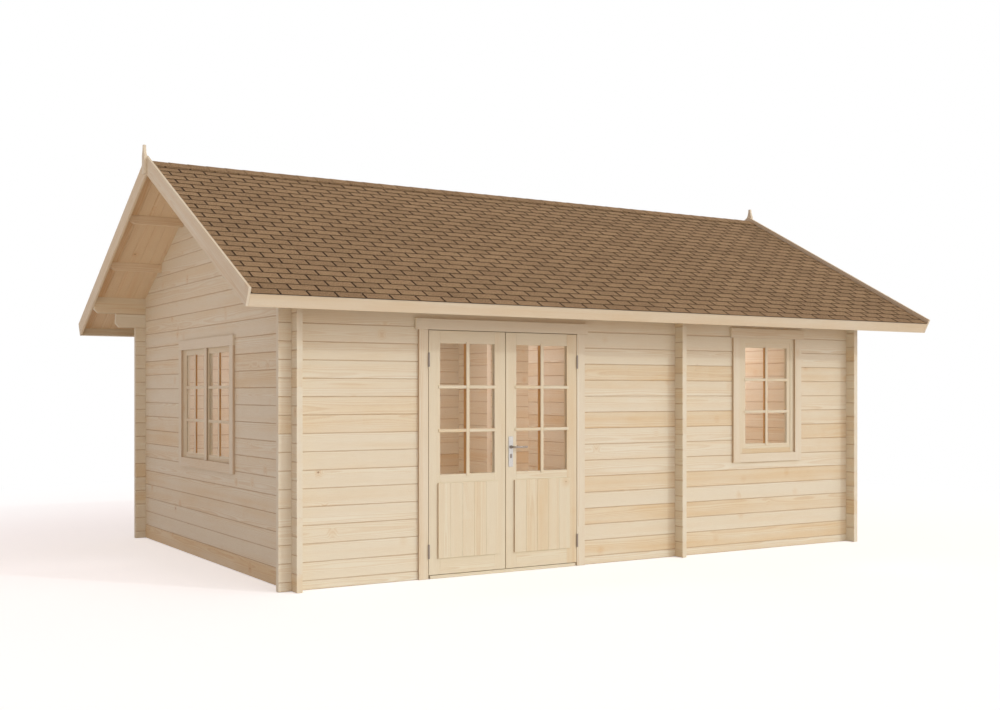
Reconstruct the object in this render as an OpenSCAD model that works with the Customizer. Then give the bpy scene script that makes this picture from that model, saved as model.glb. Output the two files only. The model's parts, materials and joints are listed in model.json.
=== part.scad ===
// Log cabin of machined pine logs with notched crossing corners, a gable roof with wide
// overhangs, a glazed double door, two windows and a log partition.
// Millimetres. +Z is up and the front wall faces -Y. The origin lies on the ground below
// the middle of the ridge.

/* [Cabin] */
// Length between the outer faces of the two gable walls
cabin_w = 5800; // [5400:50:7000]
// Depth between the outer faces of the two long walls
cabin_d = 3800; // [3400:50:4600]
// Outer face of the left gable wall to the near face of the partition
room_w = 3600; // [3300:50:3900]
// Whole log courses in a long wall, above the half log that starts it
side_courses = 17; // [16:1:19]
// Thickness of the floor boards
floor_t = 28; // [18:1:40]

/* [Logs] */
// Height that one log adds to its wall
log_h = 134; // [126:1:146]
// Thickness of a log
log_t = 45; // [35:1:60]
// Length of a log end past the wall that it crosses
log_end = 100; // [60:5:160]
// Bevel along the edges of a log
log_bevel = 4; // [1:0.5:8]
// Width of the tongue on top of a log
tongue_w = 14; // [10:1:20]
// Height of that tongue
tongue_h = 8; // [5:0.5:12]
// Clearance between pieces that are seated on each other
fit_gap = 0.3; // [0.2:0.05:0.5]
// Part of a log's height that a notch takes from the top and from the bottom
notch_share = 0.25; // [0.2:0.01:0.25]
// Log left over an opening that is too thin to stay
log_sliver = 25; // [10:1:40]

/* [Roof] */
// Pitch of the roof in degrees
pitch = 28; // [24:0.5:32]
// Overhang of the roof past the long walls
eave_over = 500; // [350:10:600]
// Overhang of the roof past the gable walls, to the outside of the barge boards
gable_over = 520; // [350:10:650]
// Thickness of the roof boards
deck_t = 18; // [15:1:25]
// Thickness of the shingle layer
shingle_t = 8; // [5:1:14]
// Width of the ridge cap on each slope
cap_w = 130; // [90:5:180]
// Thickness of the ridge cap
cap_t = 4; // [3:0.5:8]
// Height of the ridge purlin
ridge_h = 134; // [90:1:160]
// Purlins on each slope, between the ridge and the wall
purlin_count = 2; // [1:1:3]
// Height of a purlin in its middle
purlin_h = 64; // [50:1:140]
// Height of the cut corner at the free end of a purlin
purlin_cut = 36; // [20:1:60]
// Length of that cut
purlin_cut_len = 60; // [30:1:90]
// Cut corner at the free end of a top log and of the log under it
log_cut = 38; // [20:1:60]
// Length of the log end under the top log, past the gable wall
corbel_len = 292; // [200:1:340]

/* [Roof trim] */
// Width of a barge board
barge_w = 138; // [110:1:180]
// Thickness of a barge board
barge_t = 20; // [15:1:28]
// Rise of a barge board above the shingles
barge_rise = 34; // [15:1:50]
// Depth of the eave board
eave_board_h = 96; // [75:1:115]
// Thickness of the eave board
eave_board_t = 18; // [15:1:28]
// Width of the finial board
finial_w = 70; // [50:1:100]
// Height of the finial above the barge boards
finial_rise = 85; // [50:1:120]
// Width of the finial's tip
finial_tip = 26; // [14:1:34]
// Thickness of the finial board
finial_t = 24; // [15:1:34]

/* [Trim] */
// Width of the boards round a door or window
casing_w = 80; // [70:1:95]
// Thickness of those boards
casing_t = 20; // [16:1:26]
// Height of the board over a door or window
head_h = 86; // [70:1:100]
// Extra thickness of the head board
head_proud = 5; // [2:1:10]
// Length of the head board past the side boards
head_over = 28; // [10:1:50]

/* [Double door] */
// Width of one leaf
leaf_w = 696; // [620:1:760]
// Height of a leaf
leaf_h = 1886; // [1800:1:1890]
// Thickness of a leaf
leaf_t = 40; // [34:1:44]
// Gap round the leaves
leaf_gap = 5; // [5:0.5:8]
// Gap where the two leaves meet
meet_gap = 7; // [7:0.5:10]
// Thickness of the jambs and of the head between them
jamb_t = 20; // [16:1:24]
// Overlap of the door stop behind a leaf
stop_lap = 12; // [8:1:20]
// Height of the threshold
sill_h = 26; // [20:1:30]
// Width of a stile
stile_w = 99; // [85:1:115]
// Height of the top rail
top_rail = 97; // [80:1:120]
// Height of the middle rail
mid_rail = 87; // [75:1:110]
// Height of the bottom rail
bottom_rail = 146; // [120:1:170]
// Height of the glass that shows in a leaf
leaf_glass_h = 1018; // [900:1:1060]
// Overlap of the raised panel on the stiles and rails
panel_lap = 22; // [12:1:30]
// Distance that the panel stands out of the leaf
panel_proud = 14; // [8:1:18]
// Bevel round the raised panel
panel_bevel = 5; // [2:1:7]

/* [Door fittings] */
// Radius of a hinge barrel
hinge_r = 6.5; // [6:0.5:10]
// Radius of a hinge pin
pin_r = 3.5; // [3:0.5:4.5]
// Running clearance round a hinge pin
pin_gap = 0.08; // [0.05:0.01:0.1]
// Length of a hinge barrel
hinge_len = 110; // [80:2:130]
// Depth of a hinge flap beside the leaf
flap_w = 28; // [20:1:34]
// Thickness of a hinge flap
flap_t = 2; // [1.5:0.25:2.5]
// Middle of the lower hinge above the leaf's bottom
hinge_low = 181; // [140:1:300]
// Middle of the upper hinge below the leaf's top
hinge_high = 227; // [140:1:300]
// Height of the lever above the leaf's bottom
lever_z = 970; // [880:5:1050]
// Length of the lever
lever_len = 132; // [110:1:150]
// Radius of the lever
lever_r = 9; // [7:0.5:11]
// Distance of the lever from the leaf's face
lever_out = 50; // [42:1:60]
// Height of the handle plate
plate_h = 245; // [200:1:280]
// Width of the handle plate
plate_w = 42; // [34:1:50]
// Thickness of the handle plate
plate_t = 6; // [4:0.5:9]
// Middle of the handle plate from the leaf's edge
plate_inset = 45; // [36:1:60]
// Top of the handle plate above the lever
plate_top = 86; // [70:1:110]

/* [Windows] */
// Width of the glass that shows in the front window
front_glass_w = 523; // [420:1:640]
// Height of the glass that shows in the front window
front_glass_h = 881; // [780:1:900]
// Bottom of that glass above the ground
front_glass_z = 969; // [900:1:1000]
// Width of the glass that shows in one sash of the gable window
gable_glass_w = 492; // [420:1:560]
// Height of the glass that shows in the gable window
gable_glass_h = 866; // [780:1:900]
// Bottom of that glass above the ground
gable_glass_z = 905; // [850:1:950]
// Width of a sash's stiles and rails
sash_w = 42; // [34:1:55]
// Thickness of a sash
sash_t = 34; // [28:1:36]
// Distance from the face of the window frame to the face of its sash
sash_back = 5; // [2:1:8]
// Part of the window frame that shows beside the front window's sash
front_frame_show = 44; // [20:1:55]
// Part of the window frame that shows beside the gable window's sashes
gable_frame_side = 37; // [8:1:55]
// Part of the window frame that shows above and below those sashes
gable_frame_show = 6; // [4:1:45]
// Width of the post between the two sashes
gable_post_w = 46; // [30:1:60]
// Width of the cover strip on that post
cover_w = 72; // [56:1:90]
// Thickness of the cover strip
cover_t = 10; // [6:0.5:16]
// Part of the window frame that the boards round it cover
frame_lap = 20; // [12:1:30]
// Thickness of the glass
glass_t = 4; // [3:0.5:6]
// Distance from the face of a window's sash to its glass
glass_back = 6; // [4:0.5:12]
// Depth that the glass goes into its frame
glass_seat = 8; // [6:0.5:12]

/* [Partition] */
// Width of the open doorway in the partition
inner_door_w = 820; // [700:10:950]
// Log courses beside that doorway
inner_door_courses = 15; // [14:1:16]
// Middle of that doorway from the inside of the back wall
inner_door_back = 1030; // [600:10:1600]

/* [Hidden] */
$fn = 48;

pine = [0.86, 0.75, 0.58];
shingle_brown = [0.42, 0.33, 0.24];
steel = [0.72, 0.72, 0.70];
pane = [0.72, 0.82, 0.84, 0.35];
over = 10; // reach of a cut past what it cuts
left_x = -cabin_w / 2;
right_x = cabin_w / 2;
front_y = -cabin_d / 2;
back_y = cabin_d / 2;
part_x = left_x + room_w;
clear_top = sill_h + leaf_h + 2 * leaf_gap;
door_courses = ceil((clear_top + head_h + log_sliver) / log_h - 0.5);
wall_courses = max(side_courses, door_courses); // the head board over the door stays under the roof
wall_top = (wall_courses + 0.5) * log_h;
apex_z = wall_top + tan(pitch) * cabin_d / 2;
eave_u = (cabin_d / 2 + eave_over) / cos(pitch);
trim_back = cabin_w / 2 + gable_over - barge_t;
barge_top = deck_t + shingle_t + barge_rise;
gable_courses = floor(apex_z / log_h);
crossing_x = [left_x, part_x, right_x - log_t];
crossing_y = [front_y, back_y - log_t];

// Underside of the roof boards above a place y
function roof_z(y) = apex_z - tan(pitch) * abs(y);

// Bottom and top of course k in a long wall, which starts with a half log
function side_z0(k) = k == 0 ? 0 : (k - 0.5) * log_h + fit_gap / 2;
function side_z1(k) = (k + 0.5) * log_h - fit_gap / 2;

// Bottom and top of course k in a gable wall, which starts with a whole log
function gable_z0(k) = k == 0 ? 0 : k * log_h + fit_gap / 2;
function gable_z1(k) = (k + 1) * log_h - fit_gap / 2;

// Top of a cut in logs with seams at first + n * log_h: no thin strip of log is left above it,
// and the tongue of the log at its top is taken off whole
function cut_top(z, first) =
    let (seam = first + floor((z - first) / log_h) * log_h)
    let (clear = tongue_h + 2 * fit_gap)
    seam + log_h - z < log_sliver ? seam + log_h + clear : max(z, seam + clear);
function cut_bottom(z, first) =
    let (seam = first + floor((z - first) / log_h) * log_h)
    z - seam < log_sliver ? seam : z;

// Underside of a log section, with the groove for the tongue of the log below
function log_underside(grooved) =
    let (half = tongue_w / 2 + fit_gap)
    let (deep = tongue_h + fit_gap)
    let (mid = log_t / 2)
    concat(
        [[log_bevel, 0]],
        grooved ? [[mid - half, 0], [mid - half, deep], [mid + half, deep], [mid + half, 0]] : [],
        [[log_t - log_bevel, 0]]
    );

// Log section: bevelled edges, a tongue on top and a groove below
module log_section(h, grooved) {
    b = log_bevel;
    t = log_t;
    tongue = [t / 2 - tongue_w / 2, t / 2 + tongue_w / 2];
    polygon(concat(
        log_underside(grooved),
        [[t, b], [t, h - b], [t - b, h]],
        [[tongue[1], h], [tongue[1], h + tongue_h], [tongue[0], h + tongue_h], [tongue[0], h]],
        [[b, h], [0, h - b], [0, b]]
    ));
}

// Top log section: its upper face follows the roof above the outer face of the wall
module plate_section(h) {
    t = log_t;
    seat = fit_gap / cos(pitch);
    polygon(concat(
        log_underside(true),
        [[t, log_bevel], [t, h + t * tan(pitch) - seat], [0, h - seat], [0, log_bevel]]
    ));
}

// Extrusion of a (y, z) outline along X
module along_x(x0, x1) {
    translate([x0, 0, 0]) rotate([90, 0, 90]) linear_extrude(x1 - x0) children();
}

// Extrusion of an (x, z) outline along Y
module along_y(y0, y1) {
    translate([0, y1, 0]) rotate([90, 0, 0]) linear_extrude(y1 - y0) children();
}

// Box between two corners
module box(a, b) {
    translate(a) cube(b - a);
}

// Wedge that cuts the lower corner of a beam's free end; dir is -1 at its left end, 1 at its right
module end_wedge(x_end, z_low, y0, y1, dir, cut_len, cut_h) {
    past = over * cut_len / cut_h;
    along_y(y0, y1)
        polygon([
            [x_end + dir * past, z_low - over],
            [x_end - dir * (cut_len + past), z_low - over],
            [x_end + dir * past, z_low + cut_h + over]
        ]);
}

// Free end of a long wall's course k past the gable walls
function side_end(k) =
    k == wall_courses ? gable_over - barge_t - fit_gap
    : k == wall_courses - 1 ? corbel_len
    : log_end;

// Course k of the front wall, with its notches for the crossing walls
module side_log(k) {
    x0 = left_x - side_end(k);
    x1 = right_x + side_end(k);
    z0 = side_z0(k);
    notch = notch_share * log_h;
    difference() {
        translate([0, front_y, z0])
            along_x(x0, x1)
                if (k == wall_courses)
                    plate_section(wall_top - z0);
                else
                    log_section(side_z1(k) - z0, k > 0);
        for (x = crossing_x) {
            top = (k + 0.5) * log_h - notch - fit_gap / 2;
            box([x - fit_gap, front_y - over, top], [x + log_t + fit_gap, front_y + log_t + over, top + log_h]);
            if (k > 0)
                box(
                    [x - fit_gap, front_y - over, z0 - over],
                    [x + log_t + fit_gap, front_y + log_t + over, (k - 0.5) * log_h + notch + fit_gap / 2]
                );
        }
        if (k >= wall_courses - 1)
            for (dir = [-1, 1])
                end_wedge(dir < 0 ? x0 : x1, z0, front_y - over, front_y + log_t + over, dir, log_cut, log_cut);
    }
}

// Courses from first to last of the front wall, with the openings cut through
module front_logs(first, last) {
    difference() {
        for (k = [first:last])
            side_log(k);
        door_cut();
        front_window_cut();
    }
}

// Course k of a wall that runs along Y, with its outer or left face at x
module gable_log(k, x) {
    y0 = front_y - log_end;
    y1 = back_y + log_end;
    z0 = gable_z0(k);
    notch = notch_share * log_h;
    difference() {
        translate([x, 0, z0])
            along_y(y0, y1)
                log_section(gable_z1(k) - z0, k > 0);
        for (y = crossing_y) {
            if (k <= wall_courses)
                box(
                    [x - over, y - fit_gap, (k + 1) * log_h - notch - fit_gap / 2],
                    [x + log_t + over, y + log_t + fit_gap, (k + 2) * log_h]
                );
            box(
                [x - over, y - fit_gap, z0 - log_h],
                [x + log_t + over, y + log_t + fit_gap, k * log_h + notch + fit_gap / 2]
            );
        }
    }
}

// Gable outline under the roof boards
module gable_outline(clear) {
    y = cabin_d / 2 + log_end + over;
    drop = clear / cos(pitch);
    polygon([[-y, -over], [y, -over], [y, roof_z(y) - drop], [0, apex_z - drop], [-y, roof_z(y) - drop]]);
}

// All courses of a wall that runs along Y up to the roof, cut round the purlins
module gable_logs(x) {
    difference() {
        intersection() {
            for (k = [0:gable_courses])
                gable_log(k, x);
            along_x(x - over, x + log_t + over) gable_outline(fit_gap);
        }
        along_x(x - over, x + log_t + over) {
            ridge_outline(fit_gap);
            purlin_outlines(fit_gap);
            mirror([1, 0]) purlin_outlines(fit_gap);
        }
    }
}

// Doors and windows: sizes and cuts
door_x = (left_x + log_t + part_x) / 2;
clear_w = 2 * leaf_w + meet_gap + 2 * leaf_gap;
leaf_y = front_y - casing_t;
leaf_z = sill_h + leaf_gap;
glass_low = leaf_h - top_rail - leaf_glass_h;
panel_opening = glass_low - mid_rail - bottom_rail;
sight_w = leaf_w - 2 * stile_w;
window_x = (part_x + log_t + right_x - log_t) / 2;
front_margin = sash_w + fit_gap + front_frame_show;
gable_margin = sash_w + fit_gap + gable_frame_show;
gable_shift = gable_post_w / 2 + fit_gap + sash_w + gable_glass_w / 2;
front_clear = [front_glass_w + 2 * front_margin, front_glass_h + 2 * front_margin];
gable_clear = [
    2 * gable_shift + gable_glass_w + 2 * (sash_w + fit_gap + gable_frame_side),
    gable_glass_h + 2 * gable_margin
];
front_clear_z = front_glass_z - front_margin;
gable_clear_z = gable_glass_z - gable_margin;
inner_door_y = back_y - log_t - inner_door_back;

module door_cut() {
    half = clear_w / 2 + jamb_t + fit_gap;
    box(
        [door_x - half, front_y - over, -over],
        [door_x + half, front_y + log_t + over, cut_top(clear_top + jamb_t + fit_gap, log_h / 2)]
    );
}

module front_window_cut() {
    half = front_clear[0] / 2 + frame_lap + fit_gap;
    low = front_clear_z - frame_lap - fit_gap;
    high = front_clear_z + front_clear[1] + frame_lap + fit_gap;
    box(
        [window_x - half, front_y - over, cut_bottom(low, log_h / 2)],
        [window_x + half, front_y + log_t + over, cut_top(high, log_h / 2)]
    );
}

module gable_window_cut() {
    half = gable_clear[0] / 2 + frame_lap + fit_gap;
    low = gable_clear_z - frame_lap - fit_gap;
    high = gable_clear_z + gable_clear[1] + frame_lap + fit_gap;
    box([left_x - over, -half, cut_bottom(low, 0)], [left_x + log_t + over, half, cut_top(high, 0)]);
}

module inner_door_cut() {
    box(
        [part_x - over, inner_door_y - inner_door_w / 2, -over],
        [part_x + log_t + over, inner_door_y + inner_door_w / 2, cut_top(inner_door_courses * log_h, 0)]
    );
}

// Courses beside the door: those that the door's cut takes right through
beside_last = floor(cut_top(clear_top + jamb_t + fit_gap, log_h / 2) / log_h - 0.5);

module front_wall_left() color(pine) intersection() {
    front_logs(0, beside_last);
    box([left_x - gable_over, front_y - log_end, -over], [door_x, back_y, apex_z]);
}

module front_wall_right() color(pine) intersection() {
    front_logs(0, beside_last);
    box([door_x, front_y - log_end, -over], [right_x + gable_over, back_y, apex_z]);
}

module front_wall_top() color(pine) front_logs(beside_last + 1, wall_courses);

module back_wall() color(pine) mirror([0, 1, 0])
    for (k = [0:wall_courses])
        side_log(k);

module left_gable_wall() color(pine) difference() {
    gable_logs(left_x);
    gable_window_cut();
}

module right_gable_wall() color(pine) gable_logs(right_x - log_t);

module partition_wall() color(pine) difference() {
    gable_logs(part_x);
    inner_door_cut();
}

module floor_slab(x0, x1) {
    y = cabin_d / 2 - log_t - fit_gap;
    box([x0 + fit_gap, -y, 0], [x1 - fit_gap, y, floor_t]);
}

// Floor of the left room, with a strip that carries it through the doorway in the partition
module floor_left_room() color(pine) {
    floor_slab(left_x + log_t, part_x);
    box(
        [part_x - log_t, inner_door_y - inner_door_w / 2 + fit_gap, 0],
        [part_x + log_t, inner_door_y + inner_door_w / 2 - fit_gap, floor_t]
    );
}

module floor_right_room() color(pine) floor_slab(part_x + log_t, right_x - log_t);

// Ridge purlin section, cut to both slopes
module ridge_outline(clear) {
    half = log_t / 2 + clear;
    top = apex_z - fit_gap / cos(pitch);
    low = apex_z - ridge_h - clear;
    polygon([[-half, low], [half, low], [half, top - half * tan(pitch)], [0, top], [-half, top - half * tan(pitch)]]);
}

// Distance between purlins, which share out the slope from the ridge to the log ends
purlin_step = (cabin_d / 2 + log_end) / (purlin_count + 1);

// Purlin sections of the front slope, with tops cut to the slope
module purlin_outlines(clear) {
    for (i = [1:purlin_count]) {
        y0 = -i * purlin_step - log_t / 2 - clear;
        y1 = -i * purlin_step + log_t / 2 + clear;
        seat = fit_gap / cos(pitch);
        low = roof_z(-i * purlin_step) - purlin_h - clear;
        polygon([[y0, low], [y1, low], [y1, roof_z(y1) - seat], [y0, roof_z(y0) - seat]]);
    }
}

// Purlins from barge to barge, with the lower corners of their ends cut off
module purlin_bars() {
    reach = trim_back - fit_gap;
    difference() {
        along_x(-reach, reach) purlin_outlines(0);
        for (i = [1:purlin_count], dir = [-1, 1]) {
            y = -i * purlin_step;
            low = roof_z(y) - purlin_h;
            end_wedge(dir * reach, low, y - log_t, y + log_t, dir, purlin_cut_len, purlin_cut);
        }
    }
}

module ridge_purlin() color(pine) {
    reach = trim_back - fit_gap;
    difference() {
        along_x(-reach, reach) ridge_outline(0);
        for (dir = [-1, 1])
            end_wedge(dir * reach, apex_z - ridge_h, -log_t, log_t, dir, purlin_cut_len, purlin_cut);
    }
}

module front_purlins() color(pine) purlin_bars();
module back_purlins() color(pine) mirror([0, 1, 0]) purlin_bars();

// Frame of the front slope: x runs down the slope from the ridge, y stands square on the boards
module on_slope(x0, x1) {
    translate([0, 0, apex_z])
        along_x(x0, x1)
            mirror([1, 0])
                rotate(-pitch)
                    children();
}

// Layer of a slope between heights w0 and w1, from the middle plane of the roof to u1
module slope_layer(w0, w1, u1) {
    joint = fit_gap / 2 / cos(pitch);
    polygon([[joint - w0 * tan(pitch), w0], [u1, w0], [u1, w1], [joint - w1 * tan(pitch), w1]]);
}

module roof_boards() {
    on_slope(-trim_back + fit_gap, trim_back - fit_gap)
        slope_layer(0, deck_t, eave_u - eave_board_t - fit_gap);
}

module shingle_layer() {
    on_slope(-trim_back + fit_gap, trim_back - fit_gap)
        slope_layer(deck_t + fit_gap, deck_t + shingle_t, eave_u + shingle_t);
}

module front_roof_boards() color(pine) roof_boards();
module back_roof_boards() color(pine) mirror([0, 1, 0]) roof_boards();
module front_shingles() color(shingle_brown) shingle_layer();
module back_shingles() color(shingle_brown) mirror([0, 1, 0]) shingle_layer();

// Point of a roof section at u down the slope and w above the boards; side is -1 in front, 1 behind
function slope_point(u, w, side) =
    [side * (u * cos(pitch) + w * sin(pitch)), apex_z - u * sin(pitch) + w * cos(pitch)];

module ridge_cap() color(shingle_brown) {
    w0 = deck_t + shingle_t + fit_gap;
    w1 = w0 + cap_t;
    along_x(-trim_back + fit_gap, trim_back - fit_gap)
        polygon([
            slope_point(cap_w, w0, -1), [0, apex_z + w0 / cos(pitch)], slope_point(cap_w, w0, 1),
            slope_point(cap_w, w1, 1), [0, apex_z + w1 / cos(pitch)], slope_point(cap_w, w1, -1)
        ]);
}

// Barge board of the front slope at the left gable
module barge() {
    on_slope(-trim_back - barge_t, -trim_back)
        slope_layer(barge_top - barge_w, barge_top, eave_u);
}

module left_front_barge() color(pine) barge();
module left_back_barge() color(pine) mirror([0, 1, 0]) barge();
module right_front_barge() color(pine) mirror([1, 0, 0]) barge();
module right_back_barge() color(pine) mirror([1, 0, 0]) mirror([0, 1, 0]) barge();

module eave_board() {
    on_slope(-trim_back + fit_gap, trim_back - fit_gap)
        translate([eave_u - eave_board_t, deck_t - eave_board_h])
            square([eave_board_t, eave_board_h]);
}

module front_eave_board() color(pine) eave_board();
module back_eave_board() color(pine) mirror([0, 1, 0]) eave_board();

// Finial board on the left barge boards: hollow sides run up to a narrow tip
module finial() {
    top = apex_z + barge_top / cos(pitch) + finial_rise;
    low = apex_z + (barge_top - barge_w) / cos(pitch);
    inset = (finial_w - finial_tip) / 2;
    hollow_r = (pow(finial_rise, 2) + pow(inset, 2)) / (2 * inset);
    x1 = -trim_back - barge_t - fit_gap;
    difference() {
        box([x1 - finial_t, -finial_w / 2, low], [x1, finial_w / 2, top]);
        for (side = [-1, 1])
            translate([x1 - finial_t - over, side * (finial_tip / 2 + hollow_r), top])
                rotate([0, 90, 0])
                    cylinder(r = hollow_r, h = finial_t + 2 * over, $fn = 96);
    }
}

module left_finial() color(pine) finial();
module right_finial() color(pine) mirror([1, 0, 0]) finial();

// Jambs and head of the double door, with the stop that the leaves close against
module door_frame() color(pine) {
    stop_y = leaf_y + leaf_t + leaf_gap;
    inner_y = front_y + log_t;
    stop_in = leaf_gap + stop_lap;
    for (side = [-1, 1])
        translate([door_x + side * clear_w / 2, 0, 0])
            linear_extrude(clear_top - fit_gap)
                polygon([
                    [side * jamb_t, front_y + fit_gap], [0, front_y + fit_gap], [0, stop_y],
                    [-side * stop_in, stop_y], [-side * stop_in, inner_y], [side * jamb_t, inner_y]
                ]);
    box(
        [door_x - clear_w / 2 - jamb_t, front_y + fit_gap, clear_top],
        [door_x + clear_w / 2 + jamb_t, inner_y, clear_top + jamb_t]
    );
    box(
        [door_x - clear_w / 2 + stop_in + fit_gap, stop_y, clear_top - stop_in],
        [door_x + clear_w / 2 - stop_in - fit_gap, inner_y, clear_top + fit_gap]
    );
}

module door_threshold() color(pine) {
    half = clear_w / 2 - leaf_gap - stop_lap - fit_gap;
    box([door_x - half, leaf_y + fit_gap, 0], [door_x + half, front_y + log_t, sill_h]);
}

// Boards round an opening in a wall that faces -Y, drawn about the opening's lower middle.
// An eared head board reaches past the boards below it, and a plain one is flush with them.
module casing(w, h, with_sill, with_ears) {
    low = with_sill ? -casing_w : 0;
    y1 = -fit_gap;
    for (side = [0, 1])
        mirror([side, 0, 0])
            box([w / 2, -casing_t, low], [w / 2 + casing_w, y1, h - fit_gap]);
    if (with_sill)
        box([-w / 2 + fit_gap, -casing_t, low], [w / 2 - fit_gap, y1, 0]);
    half = w / 2 + casing_w + (with_ears ? head_over : 0);
    proud = with_ears ? head_proud : 0;
    box([-half, -casing_t - proud, h], [half, y1, h + head_h]);
}

module door_casing() color(pine)
    translate([door_x, front_y, 0])
        casing(clear_w, clear_top, false, true);

// Leaf of the double door: x runs from the hinge edge to the meeting edge, y from the outside in
module place_leaf(side) {
    translate([door_x + side * (clear_w / 2 - leaf_gap), leaf_y, leaf_z])
        mirror([side > 0 ? 1 : 0, 0, 0])
            children();
}

// Pane and panel core of a leaf, larger by clear where they sit in their grooves
module leaf_pane(clear) {
    mid = leaf_t / 2;
    box(
        [stile_w - glass_seat - clear, mid - glass_t / 2 - clear, glass_low - glass_seat - clear],
        [
            leaf_w - stile_w + glass_seat + clear,
            mid + glass_t / 2 + clear,
            glass_low + leaf_glass_h + glass_seat + clear
        ]
    );
}

module leaf_stiles() {
    difference() {
        for (x = [0, leaf_w - stile_w])
            translate([x, 0, 0]) cube([stile_w, leaf_t, leaf_h]);
        leaf_pane(fit_gap);
    }
}

module leaf_rail(z0, h) {
    translate([stile_w + fit_gap, 0, z0]) cube([sight_w - 2 * fit_gap, leaf_t, h]);
}

module leaf_rails() {
    difference() {
        union() {
            leaf_rail(0, bottom_rail);
            leaf_rail(glass_low - mid_rail, mid_rail);
            leaf_rail(leaf_h - top_rail, top_rail);
        }
        leaf_pane(fit_gap);
    }
}

// Raised panel: a core between the rails and a bevelled face that laps over them
module leaf_panel() {
    z0 = bottom_rail;
    z1 = bottom_rail + panel_opening;
    b = panel_bevel;
    face = -panel_proud;
    back = -fit_gap;
    x0 = stile_w - panel_lap;
    x1 = leaf_w - stile_w + panel_lap;
    low = z0 - panel_lap;
    high = z1 + panel_lap;
    box([stile_w + fit_gap, back - 1, z0 + fit_gap], [leaf_w - stile_w - fit_gap, leaf_t - 8, z1 - fit_gap]);
    intersection() {
        translate([0, 0, low])
            linear_extrude(high - low)
                polygon([[x0, back], [x0, face + b], [x0 + b, face], [x1 - b, face], [x1, face + b], [x1, back]]);
        along_x(x0, x1)
            polygon([
                [back, low], [face + b, low], [face, low + b],
                [face, high - b], [face + b, high], [back, high]
            ]);
    }
}

// Heights of a leaf's two hinges, and the pin's place beside the leaf
hinge_heights = [hinge_low, leaf_h - hinge_high];
pin_x = -leaf_gap / 2;
pin_y = -hinge_r - fit_gap;

// Upper half of a hinge, on the leaf: a barrel with a bore, and a flap on the leaf's edge
module hinge_sleeves() {
    half = hinge_len / 2;
    for (z = hinge_heights) {
        difference() {
            translate([pin_x, pin_y, z + fit_gap]) cylinder(r = hinge_r, h = half - fit_gap);
            translate([pin_x, pin_y, z - over]) cylinder(r = pin_r + pin_gap, h = over + half * 0.85);
        }
        box([-fit_gap - flap_t, 0, z + fit_gap], [-fit_gap, flap_w, z + half]);
    }
}

// Lower half of a hinge, on the frame: a barrel with its pin, and a flap on the frame's edge
module hinge_posts() {
    half = hinge_len / 2;
    for (z = hinge_heights) {
        translate([pin_x, pin_y, z - half]) cylinder(r = hinge_r, h = half);
        translate([pin_x, pin_y, z - half]) cylinder(r = pin_r, h = half * 1.8);
        box([fit_gap - leaf_gap, 0, z - half], [fit_gap - leaf_gap + flap_t, flap_w, z]);
    }
}

module door_hinge_pins() color(steel) {
    place_leaf(-1) hinge_posts();
    place_leaf(1) hinge_posts();
}

// Handle on one face of the leaf: plate, neck and lever, with the lever pointing to the hinges
module handle_side() {
    x = leaf_w - plate_inset;
    plate_z = lever_z + plate_top - plate_h;
    box([x - plate_w / 2, -plate_t, plate_z], [x + plate_w / 2, -fit_gap, plate_z + plate_h]);
    translate([x, -plate_t / 2, lever_z])
        rotate([90, 0, 0]) cylinder(r = lever_r, h = lever_out - plate_t / 2);
    translate([x, -lever_out, lever_z])
        rotate([0, -90, 0]) cylinder(r = lever_r, h = lever_len);
    translate([x, -lever_out, lever_z]) sphere(r = lever_r);
}

module left_leaf_stiles() color(pine) place_leaf(-1) leaf_stiles();
module left_leaf_rails() color(pine) place_leaf(-1) leaf_rails();
module left_leaf_panel() color(pine) place_leaf(-1) leaf_panel();
module left_leaf_glass() color(pane) place_leaf(-1) leaf_pane(0);
module left_leaf_hinges() color(steel) place_leaf(-1) hinge_sleeves();
module right_leaf_stiles() color(pine) place_leaf(1) leaf_stiles();
module right_leaf_rails() color(pine) place_leaf(1) leaf_rails();
module right_leaf_panel() color(pine) place_leaf(1) leaf_panel();
module right_leaf_glass() color(pane) place_leaf(1) leaf_pane(0);
module right_leaf_hinges() color(steel) place_leaf(1) hinge_sleeves();

module door_handle() color(steel) place_leaf(1) {
    handle_side();
    translate([0, leaf_t, 0]) mirror([0, 1, 0]) handle_side();
}

// Four bars round a rectangle w by h of clear space, drawn about its lower middle
module bar_frame(w, h, side_bar, end_bar, y0, y1) {
    for (side = [0, 1])
        mirror([side, 0, 0])
            box([w / 2, y0, -end_bar], [w / 2 + side_bar, y1, h + end_bar]);
    for (z = [-end_bar, h])
        box([-w / 2 + fit_gap, y0, z], [w / 2 - fit_gap, y1, z + end_bar]);
}

module window_pane(w, h, clear) {
    front = sash_back + glass_back;
    half = w / 2 + glass_seat + clear;
    box(
        [-half, front - clear, -glass_seat - clear],
        [half, front + glass_t + clear, h + glass_seat + clear]
    );
}

module window_sash(w, h) {
    difference() {
        bar_frame(w, h, sash_w, sash_w, sash_back, sash_back + sash_t);
        window_pane(w, h, fit_gap);
    }
}

// Fixed frame in the wall, of which side and show stand into the clear space w by h
module window_frame(w, h, side, show) {
    translate([0, 0, show])
        bar_frame(w - 2 * side, h - 2 * show, side + frame_lap, show + frame_lap, fit_gap, log_t);
}

module at_front_window(z) {
    translate([window_x, front_y, z]) children();
}

// Turns what is drawn for a front wall to the left gable wall
module at_gable_window(z) {
    translate([left_x, 0, z]) rotate(-90) children();
}

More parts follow.
